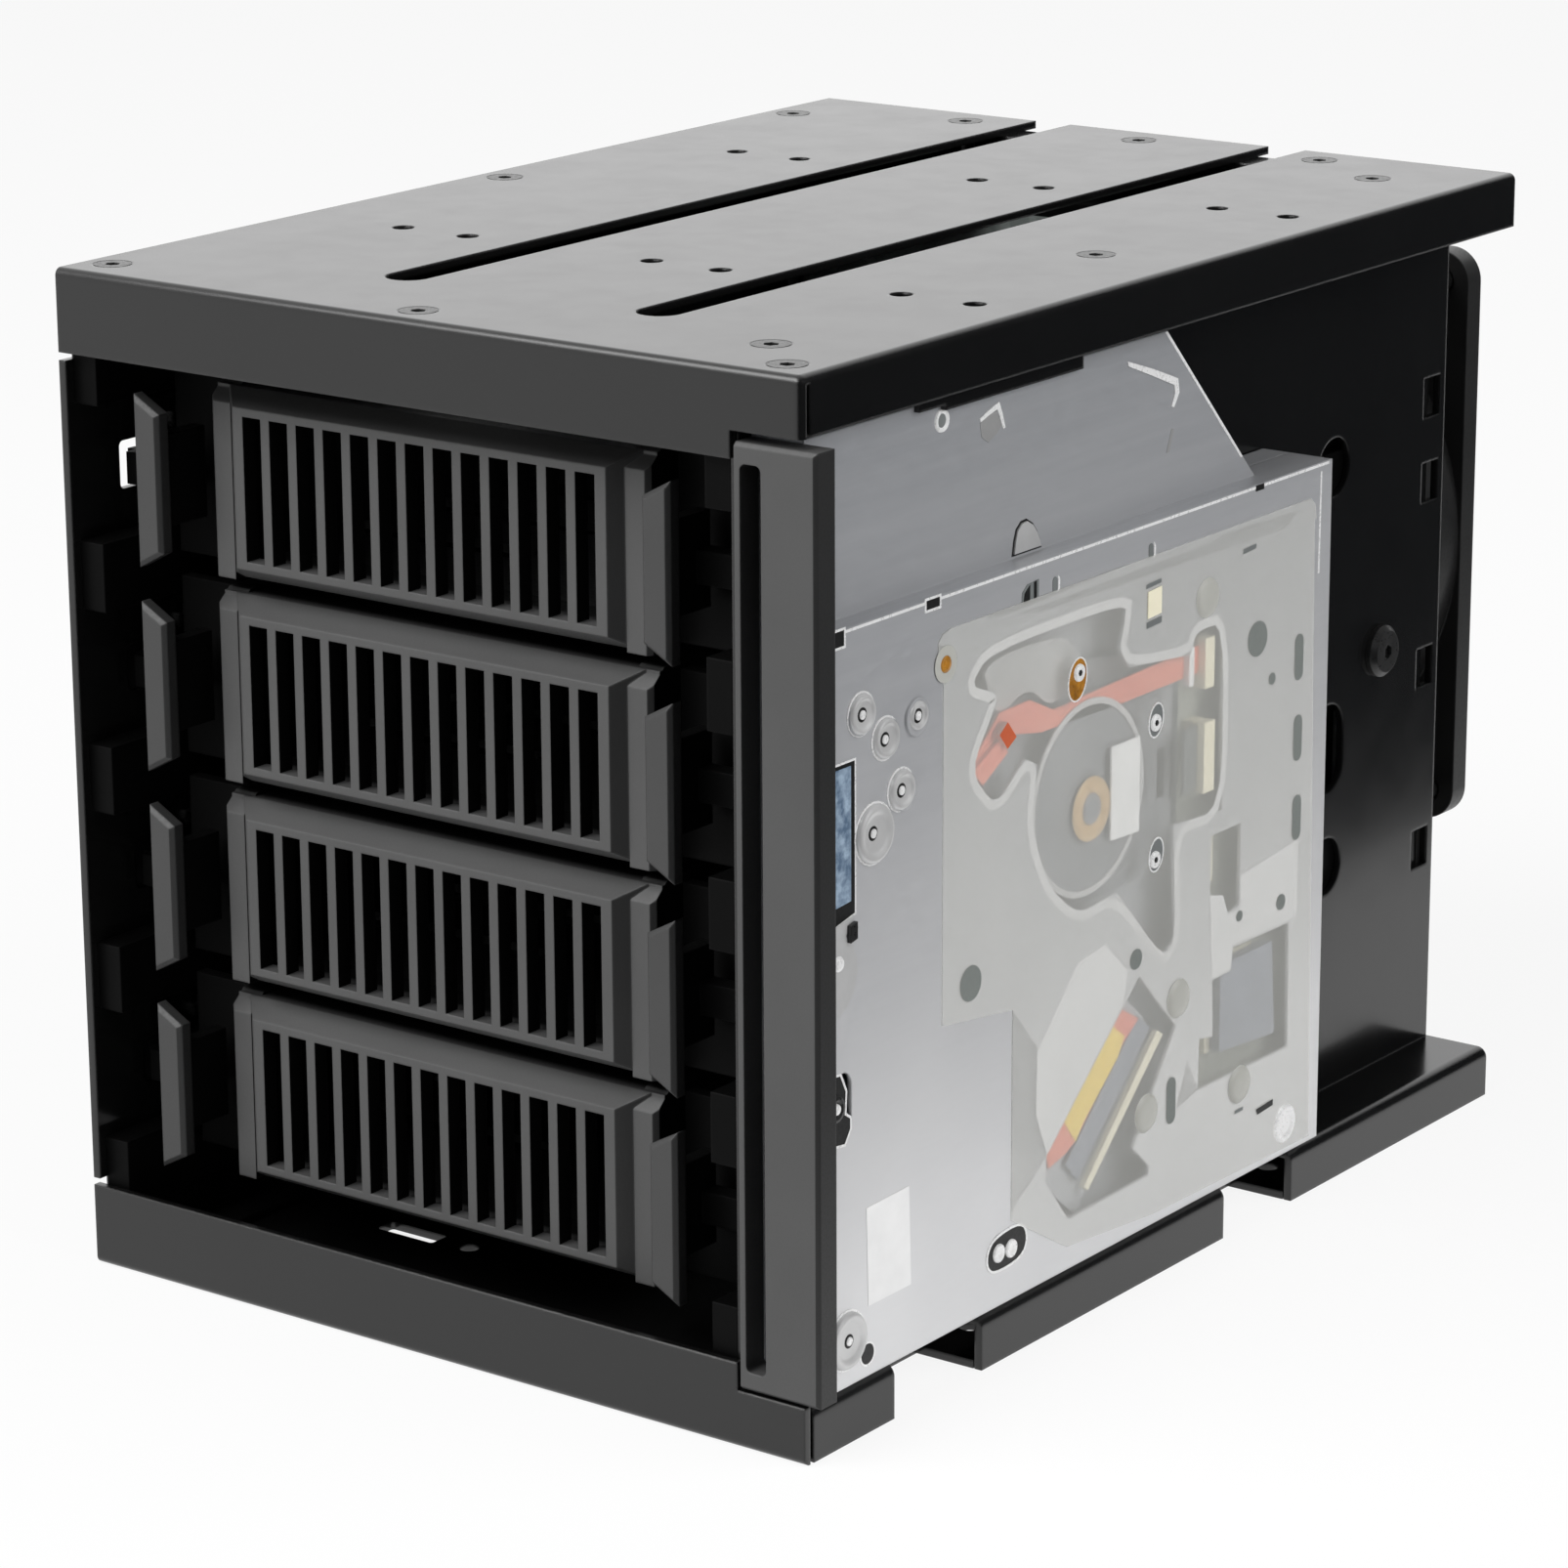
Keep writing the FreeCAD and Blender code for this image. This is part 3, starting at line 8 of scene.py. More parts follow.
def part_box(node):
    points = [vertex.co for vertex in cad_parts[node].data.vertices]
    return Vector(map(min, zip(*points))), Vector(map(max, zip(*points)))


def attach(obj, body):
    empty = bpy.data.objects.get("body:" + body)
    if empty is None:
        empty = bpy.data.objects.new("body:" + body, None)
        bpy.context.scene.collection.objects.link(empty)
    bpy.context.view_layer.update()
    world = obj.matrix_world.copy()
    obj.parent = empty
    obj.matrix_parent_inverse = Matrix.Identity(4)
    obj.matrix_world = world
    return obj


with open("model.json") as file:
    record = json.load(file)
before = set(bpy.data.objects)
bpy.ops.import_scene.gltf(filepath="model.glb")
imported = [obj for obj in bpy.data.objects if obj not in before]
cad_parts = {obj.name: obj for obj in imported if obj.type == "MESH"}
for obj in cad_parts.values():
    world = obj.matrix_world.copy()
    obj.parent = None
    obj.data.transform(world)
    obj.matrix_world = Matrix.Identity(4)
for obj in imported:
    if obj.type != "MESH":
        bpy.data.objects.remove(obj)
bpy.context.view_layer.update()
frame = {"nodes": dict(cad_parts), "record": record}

# Looks of a hot swap drive cage: black powder-coated sheet, charcoal plastic trays and a slim
# optical drive in zinc-plated steel, whose windows show through a frosted film.

MM = 0.001
plate_low, plate_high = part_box("top_plate")
film_low, film_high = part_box("optical_film")
MIDDLE = (plate_low.x + plate_high.x) / 2        # middle of the cage across the trays
FRONT = plate_low.y                              # plane of the front flanges
FACE = film_low.x                                # outer face of the optical drive's panel
OVER = (film_high.x - FACE) / MM                 # the film's outer face, in millimetres off the panel
WHITE = (1, 1, 1, 1)


def linear(value):
    """Linear light of an 8-bit screen value."""
    value /= 255.0
    return value / 12.92 if value <= 0.04045 else ((value + 0.055) / 1.055) ** 2.4


def tone(red, green=None, blue=None):
    """Linear colour of an 8-bit screen colour, or of one grey level."""
    green = red if green is None else green
    blue = red if blue is None else blue
    return (linear(red), linear(green), linear(blue), 1.0)


# --- materials ---------------------------------------------------------------------------------

class Look:
    """A Principled material whose colour, roughness and bump vary over the object."""

    NOISE_ROUGHNESS = 0.55
    BEVEL_SAMPLES = 4

    def __init__(self, name):
        self.material = bpy.data.materials.new(name)
        self.material.use_nodes = True
        self.nodes = self.material.node_tree.nodes
        self.links = self.material.node_tree.links
        self.shader = self.nodes["Principled BSDF"]
        self.where = self.nodes.new("ShaderNodeTexCoord").outputs["Object"]

    def link(self, output, socket):
        self.links.new(output, socket)

    def noise(self, scale, detail=3.0, stretch=(1, 1, 1)):
        mapping = self.nodes.new("ShaderNodeMapping")
        mapping.inputs["Scale"].default_value = stretch
        self.link(self.where, mapping.inputs["Vector"])
        noise = self.nodes.new("ShaderNodeTexNoise")
        noise.inputs["Scale"].default_value = scale
        noise.inputs["Detail"].default_value = detail
        noise.inputs["Roughness"].default_value = self.NOISE_ROUGHNESS
        self.link(mapping.outputs["Vector"], noise.inputs["Vector"])
        return noise.outputs["Fac"]

    def ranged(self, value, low, high, start=0.3, end=0.7):
        """The value carried over from start..end to low..high, and held there outside."""
        node = self.nodes.new("ShaderNodeMapRange")
        node.inputs["From Min"].default_value = start
        node.inputs["From Max"].default_value = end
        node.inputs["To Min"].default_value = low
        node.inputs["To Max"].default_value = high
        self.link(value, node.inputs["Value"])
        return node.outputs["Result"]

    def mixed(self, factor, first, second):
        """One colour turning into another; each is a colour or a node's output."""
        node = self.nodes.new("ShaderNodeMix")
        node.data_type = "RGBA"
        self.link(factor, node.inputs["Factor"])
        for socket, colour in (("A", first), ("B", second)):
            target = [item for item in node.inputs if item.name == socket and item.type == "RGBA"][0]
            if isinstance(colour, tuple):
                target.default_value = colour
            else:
                self.link(colour, target)
        return [item for item in node.outputs if item.type == "RGBA"][0]

    def parts(self, vector):
        """X, Y and Z of a vector."""
        split = self.nodes.new("ShaderNodeSeparateXYZ")
        self.link(vector, split.inputs["Vector"])
        return split.outputs

    def above(self, axis, level, width=0.0002):
        """0 to 1 as the place along an axis passes a level."""
        return self.ranged(self.parts(self.where)[axis], 0.0, 1.0, level - width, level + width)

    def maths(self, operation, *values):
        node = self.nodes.new("ShaderNodeMath")
        node.operation = operation
        for socket, value in zip(node.inputs, values):
            self.link(value, socket)
        return node.outputs[0]

    def colour(self, value):
        if isinstance(value, tuple):
            self.shader.inputs["Base Color"].default_value = value
        else:
            self.link(value, self.shader.inputs["Base Color"])

    def relief(self, height, distance, strength=1.0, edge=0.0):
        """Fine bump, over edges rounded by a small radius."""
        bump = self.nodes.new("ShaderNodeBump")
        bump.inputs["Distance"].default_value = distance
        bump.inputs["Strength"].default_value = strength
        self.link(height, bump.inputs["Height"])
        if edge:
            rounding = self.nodes.new("ShaderNodeBevel")
            rounding.samples = self.BEVEL_SAMPLES
            rounding.inputs["Radius"].default_value = edge
            self.link(rounding.outputs["Normal"], bump.inputs["Normal"])
        self.link(bump.outputs["Normal"], self.shader.inputs["Normal"])

    def sockets(self, **values):
        for name, value in values.items():
            self.shader.inputs[name.replace("_", " ")].default_value = value


def plain(name, dark, light, rough, metallic=0.0, scale=60.0, bump=0.00002, fine=1800.0, edge=0.0,
          specular=0.5, spread=0.06):
    """Colour wandering between two tones, with a fine grain in roughness and bump.

    scale is the wandering's fineness and fine the grain's. edge is the radius of rounded edges.
    """
    look = Look(name)
    look.colour(look.mixed(look.ranged(look.noise(scale, 4.0), 0, 1), dark, light))
    grain = look.noise(fine, 2.0)
    look.link(look.ranged(grain, rough - spread, rough + spread), look.shader.inputs["Roughness"])
    look.relief(grain, bump, 0.5, edge)
    look.sockets(Metallic=metallic, Specular_IOR_Level=specular)
    return look


def cage_paint():
    """Semi-gloss black paint, smooth, with a slow unevenness and a sheen."""
    look = plain("cage_paint", tone(14), tone(17), 0.2, scale=25.0, fine=120.0, bump=0.000002,
                 edge=0.0006, spread=0.02)
    look.sockets(Coat_Weight=0.12, Coat_Roughness=0.08)
    return look


def tray_plastic(name, dark, depth, width, skin):
    """Charcoal moulded plastic with a fine spark-eroded grain, painted black as shade from a depth
    behind the front.

    Painted shade also turns side faces black behind the thin skin, as in the slots of the grille,
    and darkens faces that are turned to the right.
    """
    look = plain(name, tone(dark), tone(dark + 5), 0.48, scale=40.0, fine=2600.0, bump=0.00003,
                 edge=0.0004, specular=0.45)
    charcoal = look.shader.inputs["Base Color"].links[0].from_socket
    across = look.parts(look.nodes.new("ShaderNodeNewGeometry").outputs["True Normal"])["X"]
    # Painted shade of the grille's slots: side faces behind the skin turn black.
    side_face = look.ranged(look.maths("ABSOLUTE", across), 0.0, 1.0, 0.9, 0.96)
    painted_grille_slot_shade = look.maths("MULTIPLY", side_face, look.above("Y", FRONT + skin, 0.0006))
    # Painted shade of the recess: everything behind the depth turns black and loses its sheen.
    black = look.maths("MAXIMUM", look.above("Y", FRONT + depth, width), painted_grille_slot_shade)
    # Painted shade: faces turned to the right are darker.
    painted_right_face_shade = look.ranged(across, 0.0, 0.8, 0.2, 0.7)
    charcoal = look.mixed(painted_right_face_shade, charcoal, tone(14))
    look.colour(look.mixed(black, charcoal, tone(9)))
    look.link(look.ranged(black, 0.45, 0.06, 0.0, 1.0), look.shader.inputs["Specular IOR Level"])
    return look


def drive_steel():
    """Zinc-plated sheet: cold grey, with painted light that makes it lighter towards the bottom, and
    rolling marks.
    """
    look = Look("drive_steel")
    rolled = look.noise(90.0, 3.0, (1.0, 0.25, 6.0))
    cloud = look.noise(22.0, 2.0)
    fine = look.noise(1500.0, 2.0, (1.0, 0.2, 1.0))
    # Painted light: the sheet grows lighter towards the bottom.
    height = look.ranged(look.parts(look.where)["Z"], 0.0, 1.0, 0.03, 0.135)
    base = look.mixed(height, tone(226, 226, 227), tone(158, 160, 164))
    base = look.mixed(look.ranged(cloud, 0.0, 0.22), base, tone(150, 152, 158))
    look.colour(look.mixed(look.ranged(rolled, 0.0, 0.08), base, tone(225)))
    look.link(look.ranged(fine, 0.36, 0.46), look.shader.inputs["Roughness"])
    look.relief(fine, 0.000012, 0.4, 0.0005)
    look.sockets(Metallic=0.36)
    return look


def board_green():
    """Solder mask, pale under the film, with faint tracks; what stands above it is cream plastic."""
    look = Look("board_green")
    tracks = look.noise(260.0, 1.0, (1, 6, 1))
    mask = look.mixed(look.ranged(tracks, 0, 1, 0.48, 0.52), tone(140, 148, 145), tone(160, 167, 164))
    parts_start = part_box("optical_board")[0].x + 0.9 * MM
    look.colour(look.mixed(look.above("X", parts_start), mask, tone(226, 220, 196)))
    look.link(look.ranged(tracks, 0.35, 0.5), look.shader.inputs["Roughness"])
    look.relief(tracks, 0.00002)
    return look


def clear_film():
    """Frosted translucent film, slightly warm; its haze lies on the outer face."""
    look = Look("clear_film")
    cloud = look.noise(30.0, 3.0)
    look.colour(look.mixed(look.ranged(cloud, 0, 1), tone(222, 222, 217), tone(229, 229, 224)))
    look.link(look.ranged(look.noise(900.0), 0.42, 0.55), look.shader.inputs["Roughness"])
    look.relief(cloud, 0.00003, 0.3)
    inner_face = look.nodes.new("ShaderNodeNewGeometry").outputs["Backfacing"]
    look.link(look.ranged(inner_face, 0.36, 0.0, 0.0, 1.0), look.shader.inputs["Alpha"])
    return look


def window_glass():
    """Blue-grey mottled pane behind the front opening."""
    look = Look("window_pane")
    mottle = look.noise(700.0, 5.0)
    spread = look.ranged(mottle, 0, 1, 0.35, 0.65)
    look.colour(look.mixed(spread, tone(82, 104, 128), tone(150, 170, 190)))
    look.link(look.ranged(mottle, 0.3, 0.5), look.shader.inputs["Roughness"])
    look.relief(mottle, 0.00003)
    return look


# One look per material slot of the solids, and two for solids that depart from their slot.
LOOKS = {
    "cage_paint": cage_paint(),
    "guide_plastic": plain("guide_plastic", tone(6), tone(9), 0.42, edge=0.0004, specular=0.05),
    "circuit_board": board_green(),
    "socket_plastic": plain("socket_plastic", tone(24), tone(30), 0.5),
    "inlet_plastic": plain("inlet_plastic", tone(214, 210, 198), tone(224, 220, 208), 0.42),
    "standoff_brass": plain("standoff_brass", tone(178, 148, 82), tone(198, 168, 98), 0.3, 1.0),
    "fan_plastic": plain("fan_plastic", tone(24), tone(29), 0.4, edge=0.0004),
    "pin_steel": plain("pin_steel", tone(160), tone(176), 0.28, 1.0, fine=3000.0),
    "sled_paint": plain("sled_paint", tone(10), tone(13), 0.42, specular=0.2),
    "tray_plastic": tray_plastic("tray_plastic", 70, 0.0115, 0.0012, 0.0035),
    "latch_plastic": tray_plastic("latch_plastic", 54, 0.0045, 0.0006, 0.0045),
    "drive_front": tray_plastic("drive_front", 68, 0.02, 0.002, 0.02),
    "drive_steel": drive_steel(),
    "chassis_metal": plain("chassis_metal", tone(178, 180, 184), tone(192, 194, 198), 0.45, 0.2, 80.0),
    "motor_metal": plain("motor_metal", tone(146, 148, 152), tone(160, 162, 166), 0.4, 0.3, 80.0),
    "ribbon_film": plain("ribbon_film", tone(226, 118, 92), tone(236, 138, 110), 0.38, scale=120.0),
    "clear_film": clear_film(),
    "screw_black": plain("screw_black", tone(58), tone(74), 0.32, 0.8, scale=300.0, edge=0.0002),
}
# Looks of the pieces that only this script makes.
EXTRA = {
    # Black parts, and black plates of painted shade where openings, slots and sockets are.
    "hollow_black": plain("hollow_black", tone(10), tone(14), 0.5),
    # Bright steel of screws and pins, and painted highlights on rims, edges and glints.
    "bright_steel_and_painted_highlight": plain("bright_steel_and_painted_highlight", tone(232), tone(242), 0.3, 0.2, 200.0),
    # Pressed steel, lighter than the panel's steel: a painted highlight on the pressings.
    "pressed_steel_and_painted_highlight": plain("pressed_steel_and_painted_highlight", tone(196), tone(210), 0.34, 0.35, 120.0),
    "shade_grey": plain("shade_grey", tone(104, 108, 108), tone(114, 118, 118), 0.5),
    "film_shade": plain("film_shade", tone(112, 117, 114), tone(118, 123, 120), 0.6, bump=0.00001),
    "steel_shade": plain("steel_shade", tone(150), tone(162), 0.5, 0.3),
    "pale_film": plain("pale_film", tone(190), tone(197), 0.5, scale=90.0),
    "press_line": plain("press_line", tone(176), tone(184), 0.5, scale=90.0),
    "dome_film": plain("dome_film", tone(172, 172, 166), tone(178, 178, 172), 0.35, bump=0.00001),
    "label_paper": plain("label_paper", tone(228), tone(236), 0.6, scale=200.0, bump=0.00001),
    "amber_resin": plain("amber_resin", tone(120, 78, 20), tone(190, 130, 40), 0.25, scale=500.0),
    "bronze_ring": plain("bronze_ring", tone(212, 178, 124), tone(226, 194, 144), 0.35, 0.2, 400.0),
    "yellow_paper": plain("yellow_paper", tone(240, 208, 60), tone(246, 218, 84), 0.5, scale=300.0),
    "orange_film": plain("orange_film", tone(190, 84, 44), tone(198, 94, 52), 0.5, scale=300.0),
    "cream_plastic": plain("cream_plastic", tone(232, 226, 200), tone(240, 234, 212), 0.45),
    "chip_grey": plain("chip_grey", tone(128, 133, 146), tone(138, 143, 156), 0.4, scale=200.0),
    "window_pane": window_glass(),
}



def look_of(node, slot):
    """The look of a solid: latches and the optical drive's front are darker than their slot."""
    if "latch" in node:
        return LOOKS["latch_plastic"]
    return LOOKS["drive_front" if node == "optical_bezel" else slot]


for entry in frame["record"]["subparts"]:
    solid = frame["nodes"][entry["node"]]
    solid.data.materials.clear()
    solid.data.materials.append(look_of(entry["node"], entry["material_slot"]).material)


# --- piece builders ----------------------------------------------------------------------------

def piece(name, vertices, faces, look, body="cage", smooth=False):
    """A mesh piece in the row frame that rides on a body."""
    mesh = bpy.data.meshes.new(name)
    mesh.from_pydata([tuple(vertex) for vertex in vertices], [], faces)
    mesh.validate()
    if smooth:
        mesh.polygons.foreach_set("use_smooth", [True] * len(mesh.polygons))
    thing = bpy.data.objects.new(name, mesh)
    bpy.context.scene.collection.objects.link(thing)
    mesh.materials.append((EXTRA.get(look) or LOOKS[look]).material)
    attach(thing, body)
    return thing


def spot(x, y, z):
    """A place x right of the drive's face, y behind the front plane, z up, in millimetres."""
    return Vector((FACE + x * MM, FRONT + y * MM, z * MM))


def softened(outline, rounds=2, cut=0.25):
    """The outline with its corners cut again and again until they are round."""
    for _ in range(rounds):
        result = []
        for (ay, az), (by, bz) in zip(outline, outline[1:] + outline[:1]):
            result.append((ay + (by - ay) * cut, az + (bz - az) * cut))
            result.append((by + (ay - by) * cut, bz + (az - bz) * cut))
        outline = result
    return outline


def winding(outline):
    """Twice the outline's area, negative if it runs clockwise."""
    return sum(ay * bz - by * az for (ay, az), (by, bz) in zip(outline, outline[1:] + outline[:1]))


SHARPEST = 0.5                                   # no corner moves further than by twice the distance


def grown(outline, by):
    """The outline moved outwards by a distance, corner by corner."""
    side = 1.0 if winding(outline) > 0 else -1.0
    result = []
    for index, (y, z) in enumerate(outline):
        before = Vector(outline[index - 1])
        after = Vector(outline[(index + 1) % len(outline)])
        here = Vector((y, z))
        first, second = (here - before).normalized(), (after - here).normalized()
        normal = Vector((first.y + second.y, -first.x - second.x))
        normal = normal.normalized() if normal.length > 1e-6 else Vector((first.y, -first.x))
        widen = by / max(SHARPEST, normal.dot(Vector((first.y, -first.x))))
        moved = here + normal * side * widen
        result.append((moved.x, moved.y))
    return result


def plates(name, outlines, low, high, look, slot="drive_steel"):
    """Flat pieces with side outlines (y, z), standing from low to high off the drive's face."""
    vertices, faces = [], []
    for outline in outlines:
        if winding(outline) < 0:
            outline = outline[::-1]
        start, count = len(vertices), len(outline)
        vertices += [spot(low, y, z) for y, z in outline] + [spot(high, y, z) for y, z in outline]
        faces.append([start + count + index for index in range(count)])
        faces.append([start + index for index in reversed(range(count))])
        for index in range(count):
            after = (index + 1) % count
            faces.append([start + index, start + after, start + count + after,
                          start + count + index])
    return piece(name, vertices, faces, look)


def band(name, outlines, inner, outer, low, high, look):
    """Flat rings that follow outlines from an inner to an outer distance."""
    vertices, faces = [], []
    for outline in outlines:
        if winding(outline) < 0:
            outline = outline[::-1]
        loops = [grown(outline, inner), grown(outline, outer)]
        start, count = len(vertices), len(outline)
        for level in (high, low):
            for loop in loops:
                vertices += [spot(level, y, z) for y, z in loop]
        for index in range(count):
            after = (index + 1) % count
            faces.append([start + index, start + count + index, start + count + after,
                          start + after])
            faces.append([start + count + index, start + 3 * count + index,
                          start + 3 * count + after, start + count + after])
            faces.append([start + after, start + 2 * count + after, start + 2 * count + index,
                          start + index])
    return piece(name, vertices, faces, look)


def round_outline(y, z, radius, squeeze=1.0, tilt=0.0, steps=24):
    """A circle, or an ellipse squeezed along y and tilted."""
    points = []
    for step in range(steps):
        angle = 2 * math.pi * step / steps
        across, up = radius * squeeze * math.cos(angle), radius * math.sin(angle)
        points.append((y + across * math.cos(tilt) - up * math.sin(tilt),
                       z + across * math.sin(tilt) + up * math.cos(tilt)))
    return points


def turned(name, spots, profile, look, steps=28):
    """Round pressings: a profile of (radius, height) turned about the line across the drive."""
    vertices, faces = [], []
    for y, z in spots:
        start = len(vertices)
        for radius, height in profile:
            vertices += [spot(height, side, up) for side, up in round_outline(y, z, radius, steps=steps)]
        for ring in range(len(profile) - 1):
            for step in range(steps):
                after = (step + 1) % steps
                low, high = start + ring * steps, start + (ring + 1) * steps
                faces.append([low + step, low + after, high + after, high + step])
        faces.append([start + (len(profile) - 1) * steps + step for step in range(steps)])
    return piece(name, vertices, faces, look, smooth=True)


def pill(y, low, high, half):
    """Upright slot with round ends."""
    angles = [math.pi * step / 8 for step in range(9)]
    upper = [(y + half * math.cos(angle), high - half + half * math.sin(angle)) for angle in angles]
    lower = [(y - half * math.cos(angle), low + half - half * math.sin(angle)) for angle in angles]
    return upper + lower


# --- optical drive's side ----------------------------------------------------------------------

PAINTED_SHADE_PIT = (-0.05, 0.05)                         # levels of a black plate of painted shade that stands for an opening
MOTOR_WINDOW = [(35.8, 98.6), (40.2, 102.2), (73.3, 102.3), (73.0, 99.3), (71.8, 95.9), (74.4, 92.8),
                (90.2, 91.2), (91.4, 94.3), (98.7, 94.1), (99.0, 66.5), (86.2, 67.3), (87.3, 50.5),
                (84.0, 48.4), (71.9, 61.2), (62.3, 60.3), (54.7, 66.3), (50.5, 75.6), (51.9, 84.2),
                (48.8, 85.7), (41.9, 80.6), (35.9, 86.9), (42.0, 95.0), (41.8, 96.4)]


def drive_pressings():
    """Bosses, dimples and small openings pressed into the drive's steel; openings and sockets are black
    plates of painted shade, and bright rims and edges are painted highlights.
    """
    boss = [(2.75, 0.0), (2.7, 0.4), (2.45, 0.72), (2.15, 0.78), (1.95, 0.56), (1.7, 0.42), (1.0, 0.42)]
    wide = [(4.0, 0.0), (3.95, 0.4), (3.7, 0.75), (3.2, 0.8), (2.7, 0.5), (2.3, 0.4), (1.0, 0.4)]
    boss_row = [(11.1, 100.4), (16.4, 96.0), (19.9, 88.3)]
    sockets = [(10.9, 100.4), (15.9, 96.0), (19.6, 88.3), (23.3, 97.5), (13.3, 84.0), (7.8, 15.6)]
    turned("drive_bosses", boss_row, boss, "pressed_steel_and_painted_highlight")
    turned("small_boss", [(23.5, 97.5)], [(radius * 0.72, height) for radius, height in boss],
           "pressed_steel_and_painted_highlight")
    turned("wide_bosses", [(13.9, 83.8), (7.8, 15.6)], wide, "pressed_steel_and_painted_highlight")
    band("boss_rim_highlights", [round_outline(y, z, 2.75) for y, z in boss_row]
         + [round_outline(23.5, 97.5, 2.0), round_outline(13.9, 83.8, 4.0),
            round_outline(7.8, 15.6, 4.0)], 0.0, 0.28, 0.0, 0.12, "bright_steel_and_painted_highlight")
    turned("boss_sockets", sockets, [(1.0, 0.3), (1.0, 0.42), (0.95, 0.44)], "hollow_black", steps=16)
    turned("boss_pins", sockets, [(0.62, 0.4), (0.62, 0.6), (0.4, 0.66)], "bright_steel_and_painted_highlight", steps=16)
    turned("rear_dimple", [(118.0, 13.8)],
           [(3.1, 0.0), (2.9, 0.2), (2.6, 0.4), (2.2, 0.42), (1.8, 0.2), (1.2, 0.18)], "bright_steel_and_painted_highlight")
    front_slots = [[(4.9, 110.2), (7.5, 110.2), (7.5, 112.25), (4.9, 112.25)],
                   [(25.7, 111.0), (28.7, 111.0), (28.7, 112.25), (25.7, 112.25)]]
    rear_slot = [(106.6, 111.4), (108.8, 111.4), (108.8, 112.25), (106.6, 112.25)]
    plates("fold_slots", front_slots + [rear_slot], *PAINTED_SHADE_PIT, "hollow_black")
    band("fold_slot_rim_highlights", front_slots, 0.0, 0.35, 0.0, 0.06, "bright_steel_and_painted_highlight")
    plates("small_slot", [[(109.9, 18.3), (110.2, 17.4), (114.5, 17.7), (114.5, 18.6)]],
           OVER - 0.02, OVER + 0.03, "hollow_black")
    # Painted highlights along the fold and the panel's rear end.
    plates("fold_edge_highlight", [[(4.5, 111.75), (126.6, 111.75), (126.6, 112.15), (4.5, 112.15)]],
           0.0, 0.03, "bright_steel_and_painted_highlight")
    plates("end_glint", [[(124.3, 111.0), (124.7, 111.0), (124.5, 96.0), (124.1, 96.0)]],
           0.0, 0.05, "bright_steel_and_painted_highlight")
    turned("small_hole", [(12.5, 12.2)], [(1.45, -0.02), (1.45, 0.05), (1.2, 0.05)], "hollow_black")
    band("small_hole_rim_highlight", [round_outline(12.5, 12.2, 1.45)], 0.0, 0.3, 0.0, 0.07, "bright_steel_and_painted_highlight")


def wing_pressings():
    """Half-moon tab, ring and dimples on the drive's thin wing, and clips along the fold; the bright
    strips on the wing, its edge and the fold are painted highlights.
    """
    fold = 0.9                                   # the wing's upper fold stands this far proud of it
    level = (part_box("optical_bracket")[1].x - FACE) / MM - fold
    moon = [(51.0, 112.9), (51.3, 114.6), (51.8, 116.0), (52.8, 116.8), (54.0, 116.9), (55.4, 116.1),
            (56.4, 114.9), (57.0, 113.8), (57.3, 112.9)]
    plates("moon_shadow", [grown(moon, 0.3)], level - 0.05, level + 0.06, "hollow_black")
    plates("moon_tab", [moon], level, level + 0.3, "pressed_steel_and_painted_highlight")
    turned("wing_ring", [(34.2, 134.1)],
           [(1.6, level), (1.5, level + 0.25), (1.15, level + 0.3), (0.95, level + 0.06)],
           "bright_steel_and_painted_highlight", steps=24)
    turned("wing_hole", [(34.2, 134.1)], [(0.95, level + 0.06), (0.9, level + 0.08)], "shade_grey",
           steps=16)
    glints = [[(42.9, 132.8), (45.0, 133.6), (47.3, 134.3), (48.1, 132.6), (48.8, 130.6),
               (48.3, 130.5), (47.5, 132.3), (46.9, 133.4), (44.9, 132.9), (43.0, 132.3)],
              [(78.4, 134.4), (84.8, 132.3), (91.2, 129.9), (91.6, 127.9), (90.3, 126.0),
               (89.6, 126.2), (90.5, 127.9), (90.3, 129.1), (84.6, 131.4), (78.6, 133.7)]]
    plates("wing_glints", glints, level, level + 0.16, "bright_steel_and_painted_highlight")
    plates("wing_dimples", [[(43.0, 132.2), (44.9, 132.8), (46.8, 133.2), (48.0, 131.0),
                             (47.0, 130.1), (45.0, 129.2), (43.4, 130.2)],
                            [(89.9, 123.0), (90.5, 122.9), (89.4, 119.8), (88.6, 119.8)]],
           level, level + 0.05, "steel_shade")
    # Painted highlight along the wing's slanted edge.
    plates("wing_edge_highlight", [[(87.9, 136.9), (88.5, 136.9), (108.8, 115.6), (108.2, 115.6)]],
           level, level + 0.05, "bright_steel_and_painted_highlight")
    plates("fold_clip_hole",
           [[(47.7, 107.2), (47.9, 108.8), (49.0, 109.7), (51.8, 109.9), (51.8, 107.2)]],
           -0.02, 0.06, "shade_grey")
    plates("fold_clip", [[(48.1, 107.2), (48.4, 108.6), (49.6, 109.5), (49.6, 107.2)],
                         [(50.6, 107.2), (50.6, 109.7), (51.2, 109.8), (51.2, 107.2)]],
           0.0, 0.14, "hollow_black")
    for name, y, z in (("front", 55.7, 108.3), ("middle", 79.4, 108.2)):
        plates(f"fold_slot_{name}", [pill(y, z - 1.1, z + 1.1, 0.55)], 0.0, 0.08, "shade_grey")
        plates(f"fold_glint_{name}", [[(y + 0.6, z - 1.2), (y + 1.1, z - 0.7), (y + 1.15, z + 0.7),
                                       (y + 0.7, z + 1.2), (y + 0.75, z)]], 0.0, 0.1, "bright_steel_and_painted_highlight")


